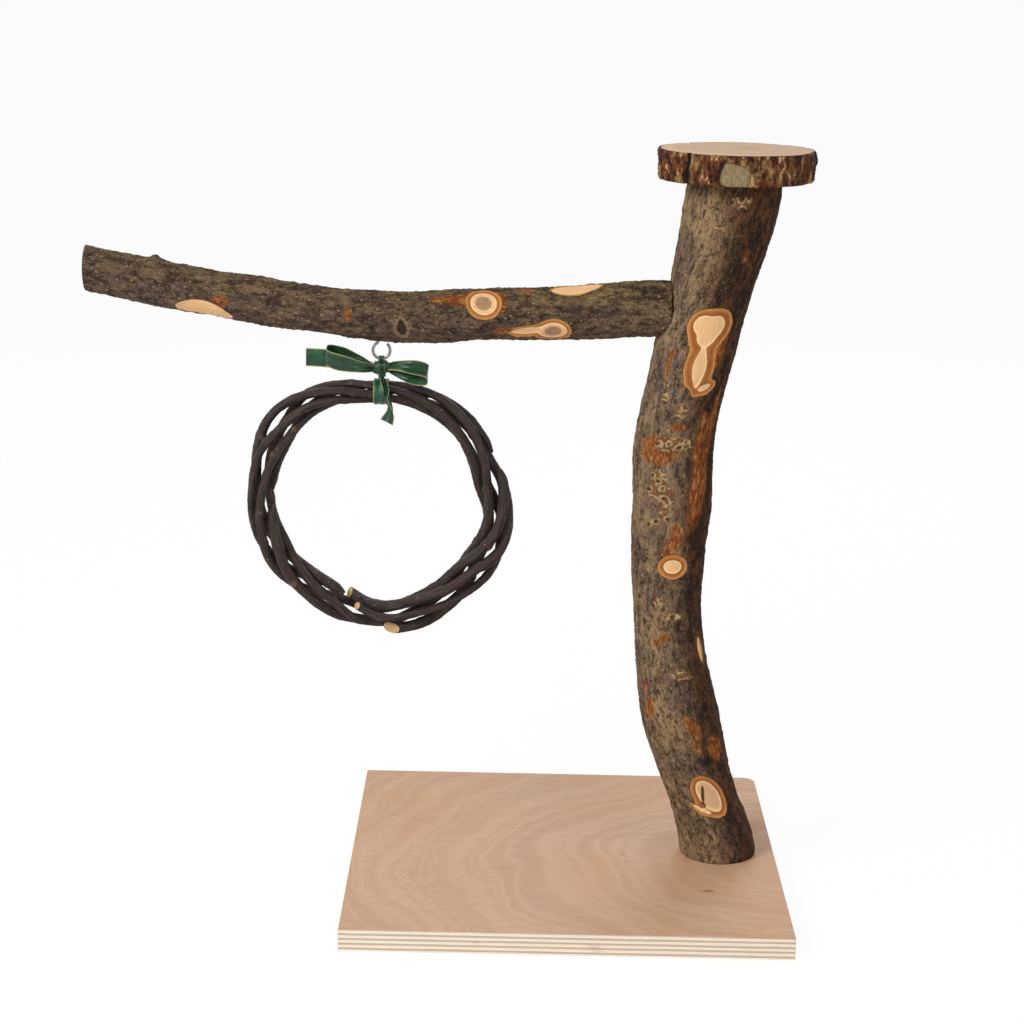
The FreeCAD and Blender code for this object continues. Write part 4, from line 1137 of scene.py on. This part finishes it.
def make_canes():
    middle = ring_middle()
    material = cane_material()
    rows, columns = 440, 20
    for index in range(CANE_COUNT):
        rng = random.Random(SEED + index)
        buds = []
        place = rng.uniform(15, 40)
        while place < 480:
            buds.append((place, rng.uniform(0, 360), rng.uniform(0.5, 1.2)))
            place += rng.uniform(22, 52)
        bevel = CUT_BEVELS[index]
        surface = Surface("cut", "bud")
        along = 0.0
        last = None
        for i in range(rows):
            angle = CANE_STARTS[index] + CANE_SPAN * i / (rows - 1)
            here = cane_middle(index, angle, middle)
            ahead = cane_middle(index, angle + 0.05, middle)
            tangent = (ahead - here).normalized()
            if last is not None:
                along += (here - last).length
            last = here
            outward = (here - middle)
            outward = (outward - tangent * outward.dot(tangent)).normalized()
            side = tangent.cross(outward)
            kink = 0.5 * noise.noise(Vector((along * 0.03, index * 7.0, 0)))
            kink_side = 0.5 * noise.noise(Vector((along * 0.03, index * 7.0, 9)))
            here = here + (outward * kink + side * kink_side) * (1 - pinch(angle))
            for j in range(columns):
                round_angle = 360.0 * j / columns
                turn = math.radians(round_angle)
                radius = cane_radius(index, angle)
                skin = Vector((radius * math.cos(turn) + 40 * index, radius * math.sin(turn), along))
                lift = 0.5 * relief(skin, 0.09, 0.4, 4) + 0.2 * relief(skin, 0.3, 1.1, 2)
                knob = 0.0
                for bud_place, bud_angle, bud_size in buds:
                    near = bell(along - bud_place, 2.4)
                    if near > 0.02:
                        facing = math.cos(math.radians(round_angle - bud_angle))
                        knob = max(knob, near * (0.3 + 0.7 * max(0.0, facing) ** 2) * bud_size)
                to_end = (CANE_STARTS[index] + CANE_SPAN - angle) * ring_radius(angle) * math.pi / 180
                if not bevel:
                    to_end = min(to_end, along)
                radius *= 1 - 0.62 * max(0.0, 1 - to_end / TIP_TAPER) ** 1.6
                radius += (lift + 0.9 * knob - 0.25) * min(1.0, to_end / 2.5)
                direction = outward * math.cos(turn) + side * math.sin(turn)
                shear = bevel * (0.5 - 0.5 * direction.y) * max(0.0, 1 - along / (1.6 * max(bevel, 1.0)))
                surface.add(here + direction * radius + tangent * shear, skin, 0.0, knob)
        surface.faces = grid_faces(rows, columns)
        for base, far_end in ((0, False), ((rows - 1) * columns, True)):
            cut = 0.0 if far_end or not bevel else 1.0
            surface.close(base, columns, (0.93, 0.5, 0.1), lambda skin, share: skin * share,
                          (cut, 0.0), far_end)
        piece = surface.piece("cane_bark_%d" % (index + 1), material)
        stands_for(piece, "ring", "cane_%d" % (index + 1))


# ---------------------------------------------------------------- ribbon

RIBBON_WIDTH = 12.5
RIBBON_THICKNESS = 0.36
RIBBON_STEPS = 6
RIBBON_COLUMNS = 18


def smooth_path(stations):
    """Catmull-Rom through (middle, across, width) stations."""
    out = []
    count = len(stations)
    for i in range(count - 1):
        p = [stations[max(0, min(count - 1, i + k))] for k in (-1, 0, 1, 2)]
        for k in range(RIBBON_STEPS):
            t = k / RIBBON_STEPS
            weights = (-0.5 * t + t * t - 0.5 * t ** 3, 1 - 2.5 * t * t + 1.5 * t ** 3,
                       0.5 * t + 2 * t * t - 1.5 * t ** 3, -0.5 * t * t + 0.5 * t ** 3)
            middle = sum((q[0] * w for q, w in zip(p, weights)), Vector())
            across = sum((q[1] * w for q, w in zip(p, weights)), Vector())
            width = sum(q[2] * w for q, w in zip(p, weights))
            out.append((middle, across.normalized(), width))
    out.append((stations[-1][0], stations[-1][1].normalized(), stations[-1][2]))
    return out


def ribbon_piece(name, stations, material, cup=0.0, pleat=0.0, edge=1.0):
    """A thin closed strip; where it is gathered narrower than its full width it pleats."""
    path = smooth_path(stations)
    columns = RIBBON_COLUMNS
    points, faces = [], []
    values = {"across": [], "along": []}
    along = 0.0
    half = RIBBON_THICKNESS / 2
    sheets = ([], [])
    for i, (middle, across, width) in enumerate(path):
        before, after = path[max(0, i - 1)][0], path[min(len(path) - 1, i + 1)][0]
        tangent = (after - before).normalized()
        side = (across - tangent * across.dot(tangent)).normalized()
        normal = tangent.cross(side)
        if i:
            along += (middle - path[i - 1][0]).length
        gather = max(0.0, 1 - width / RIBBON_WIDTH)
        row = []
        for j in range(columns + 1):
            share = 2 * j / columns - 1
            fold = pleat * gather * math.sin(share * math.pi * 2.5 + 0.6) * RIBBON_WIDTH * 0.16
            crease = 0.16 * noise.noise(middle * 0.22 + Vector((share * 1.3, 0, 5)))
            bend = cup * (share * share - 0.4) + fold + crease
            row.append((middle + side * (share * width / 2) + normal * bend, normal, share))
        for layer, sign in ((0, 1), (1, -1)):
            line = []
            for place, out, share in row:
                line.append(len(points))
                points.append(place + out * sign * half * (1 if abs(share) < 1 else 0.5))
                values["across"].append(share * edge)
                values["along"].append(along)
            sheets[layer].append(line)
    for layer in (0, 1):
        for a, b in zip(sheets[layer], sheets[layer][1:]):
            for j in range(columns):
                quad = (a[j], a[j + 1], b[j + 1], b[j])
                faces.append(quad if layer else tuple(reversed(quad)))
    top, under = sheets
    for i in range(len(path) - 1):
        faces.append((top[i][0], under[i][0], under[i + 1][0], top[i + 1][0])[::-1])
        faces.append((top[i][-1], top[i + 1][-1], under[i + 1][-1], under[i][-1])[::-1])
    for j in range(columns):
        faces.append((top[0][j], top[0][j + 1], under[0][j + 1], under[0][j])[::-1])
        faces.append((top[-1][j + 1], top[-1][j], under[-1][j], under[-1][j + 1])[::-1])
    piece = new_piece(name, points, faces, material, values)
    return piece, along


def knot_place():
    low, high = box_mm("bow_knot")
    return (low + high) / 2


def loop_stations(side, length, fall, lift, opening, lean, root):
    """A teardrop out from the knot and back, for one of the bow's loops."""
    knot = knot_place()
    tilt = math.radians(lean)
    across = Vector((0, math.sin(tilt), math.cos(tilt)))
    apart = Vector((0, -math.cos(tilt), math.sin(tilt)))
    stations = []
    for i in range(17):
        u = i / 16
        out = math.sin(math.pi * u)
        middle = knot + Vector((side * (root + length * out), -1.6 - fall * out, lift * out))
        wave = math.sin(2 * math.pi * u)
        middle += apart * (opening * math.copysign(abs(wave) ** 0.6, wave) + 0.9 * math.cos(math.pi * u))
        stations.append((middle, across, RIBBON_WIDTH * (0.36 + 0.64 * min(1.0, 1.5 * out))))
    return stations


def whole_turn(steps):
    return [2 * math.pi * i / steps for i in range(steps + 1)]


def make_ribbon():
    satin = satin_material()
    knot = knot_place()
    wrap_low, wrap_high = box_mm("ribbon_wrap")

    def band(name, node, body, stations, **more):
        piece, length = ribbon_piece(name, stations, satin, **more)
        stands_for(piece, body, node)
        return piece, length

    def sheet(name, node, body, stations, held, **more):
        piece, length = band(name, node, body, stations, **more)

    left = loop_stations(-1, length=32.5, fall=6.5, lift=9.0, opening=5.0, lean=-20, root=4.4)
    sheet("satin_loop_left", "bow_loop_left", "bow", left, "folded", cup=0.5, pleat=1.0)
    right = loop_stations(1, length=27.5, fall=12.0, lift=-2.0, opening=4.4, lean=52, root=4.6)
    sheet("satin_loop_right", "bow_loop_right", "bow", right, "folded", cup=0.4, pleat=1.0)

    low, high = box_mm("bow_tail_left")
    tail = []
    for i in range(9):
        out = i / 8
        middle = Vector((high.x - (high.x - low.x) * out, knot.y + 1.2 + 1.4 * out,
                         knot.z + 5.4 * math.sin(math.pi / 2 * out) ** 0.8))
        tail.append((middle, Vector((0.04, 0, 1)), RIBBON_WIDTH * (0.36 + 0.64 * min(1.0, 1.9 * out))))
    sheet("satin_tail_left", "bow_tail_left", "bow", tail, "folded", cup=0.3, pleat=1.0)

    # the knot: a band pulled tight round the gathered middle
    half = Vector((5.0, 4.0, 4.4))
    winding = []
    for turn in whole_turn(12):
        place = Vector((0.5 * math.sin(turn), -half.y * math.cos(turn), half.z * math.sin(turn)))
        winding.append((knot + place, Vector((1, 0, 0.15 * math.cos(turn))),
                        2 * half.x + 0.5 * math.cos(2 * turn)))
    band("satin_knot", "bow_knot", "bow", winding, cup=0.9, pleat=0.8, edge=0.8)

    low, high = box_mm("ribbon_eye_loop")
    middle = (low + high) / 2
    ring_half = (high.z - low.z) / 2 - 0.35
    eye_band = [(middle + Vector((0, ring_half * math.sin(turn), ring_half * math.cos(turn))),
                 ALONG_X, high.x - low.x) for turn in whole_turn(12)]
    band("satin_eye_loop", "ribbon_eye_loop", "bow", eye_band)

    low, high = box_mm("bow_tail_start")
    start = [(Vector((knot.x + 0.2, high.y - 0.4, knot.z + 1.6)), ALONG_X, 4.6),
             (Vector((knot.x + 0.6, high.y - 1.9, knot.z - 0.4)), ALONG_X, 4.8),
             (Vector((knot.x + 1.2, low.y + 1.3, low.z + 2.6)), Vector((1, 0.1, 0)), 4.6),
             (Vector((knot.x + 1.6, low.y + 1.1, low.z + 0.8)), Vector((1, 0.1, 0)), 4.4)]
    band("satin_tail_start", "bow_tail_start", "bow", start, cup=0.5, pleat=0.5, edge=0.8)

    low, high = box_mm("ribbon_neck")
    neck = [(Vector((knot.x, 0, high.z - 0.1)), ALONG_X, 3.2),
            (Vector((knot.x, 0, (low.z + high.z) / 2)), ALONG_X, 4.2),
            (Vector((knot.x, 0, wrap_high.z - 0.02)), ALONG_X, 4.2)]
    band("satin_neck", "ribbon_neck", "neck", neck, pleat=0.7, edge=0.8)

    # the wrap: once round the gathered canes
    centre = (wrap_low + wrap_high) / 2
    up, out = (wrap_high.z - wrap_low.z) / 2 - 0.3, (wrap_high.y - wrap_low.y) / 2 - 0.3
    wrap = [(centre + Vector((0, -out * math.sin(turn), up * math.cos(turn))), ALONG_X, 10.2)
            for turn in whole_turn(24)]
    piece, length = band("satin_wrap", "ribbon_wrap", "ring", wrap, pleat=0.6)

    low, high = box_mm("front_tail")
    x = knot.x
    front = high.y - 1.1
    drop = high.z - low.z
    hang = [(Vector((x + 1.8, front, high.z - 0.2)), ALONG_X, 4.4),
            (Vector((x + 3.2, front - 0.4, high.z - 0.22 * drop)), Vector((0.9, 0.4, 0)), 4.2),
            (Vector((x + 5.4, front - 0.9, high.z - 0.44 * drop)), Vector((0.35, -0.93, 0)), 5.0),
            (Vector((x + 7.0, front - 1.4, high.z - 0.64 * drop)), Vector((0.55, -0.83, 0)), 6.4),
            (Vector((x + 6.4, front - 1.6, high.z - 0.82 * drop)), Vector((0.9, -0.4, 0.2)), 8.4),
            (Vector((x + 4.6, front - 1.7, high.z - 0.96 * drop)), Vector((0.88, -0.1, 0.46)), 10.0)]
    sheet("satin_front_tail", "front_tail", "ring", hang, "hung", cup=0.5, pleat=0.8)


# ---------------------------------------------------------------- floor and small parts

def make_floor():
    reach = 6.0
    mesh = bpy.data.meshes.new("floor")
    mesh.from_pydata([(-reach, -reach, 0), (reach, -reach, 0), (reach, reach, 0), (-reach, reach, 0)], [],
                     [(0, 1, 2, 3)])
    mesh.materials.append(floor_material())
    floor = bpy.data.objects.new("floor", mesh)
    floor.location.z = -0.0003
    bpy.context.scene.collection.objects.link(floor)


def dress_small_parts():
    low, high = box_mm("base_board")
    give("base_board", plywood_material(high.z - low.z))
    give("screw_eye", steel_material("eye_wire", rgb(150, 142, 138), rgb(84, 74, 70), 0.3))
    zinc = steel_material("zinc_plate", rgb(206, 190, 130), rgb(150, 128, 84), 0.28)
    give("base_screws", zinc)
    give("perch_bolt", zinc)
    give("platform_dowel", dowel_material())


make_camera()
make_light()
make_floor()
dress_small_parts()
make_limbs()
make_platform()
make_canes()
make_ribbon()
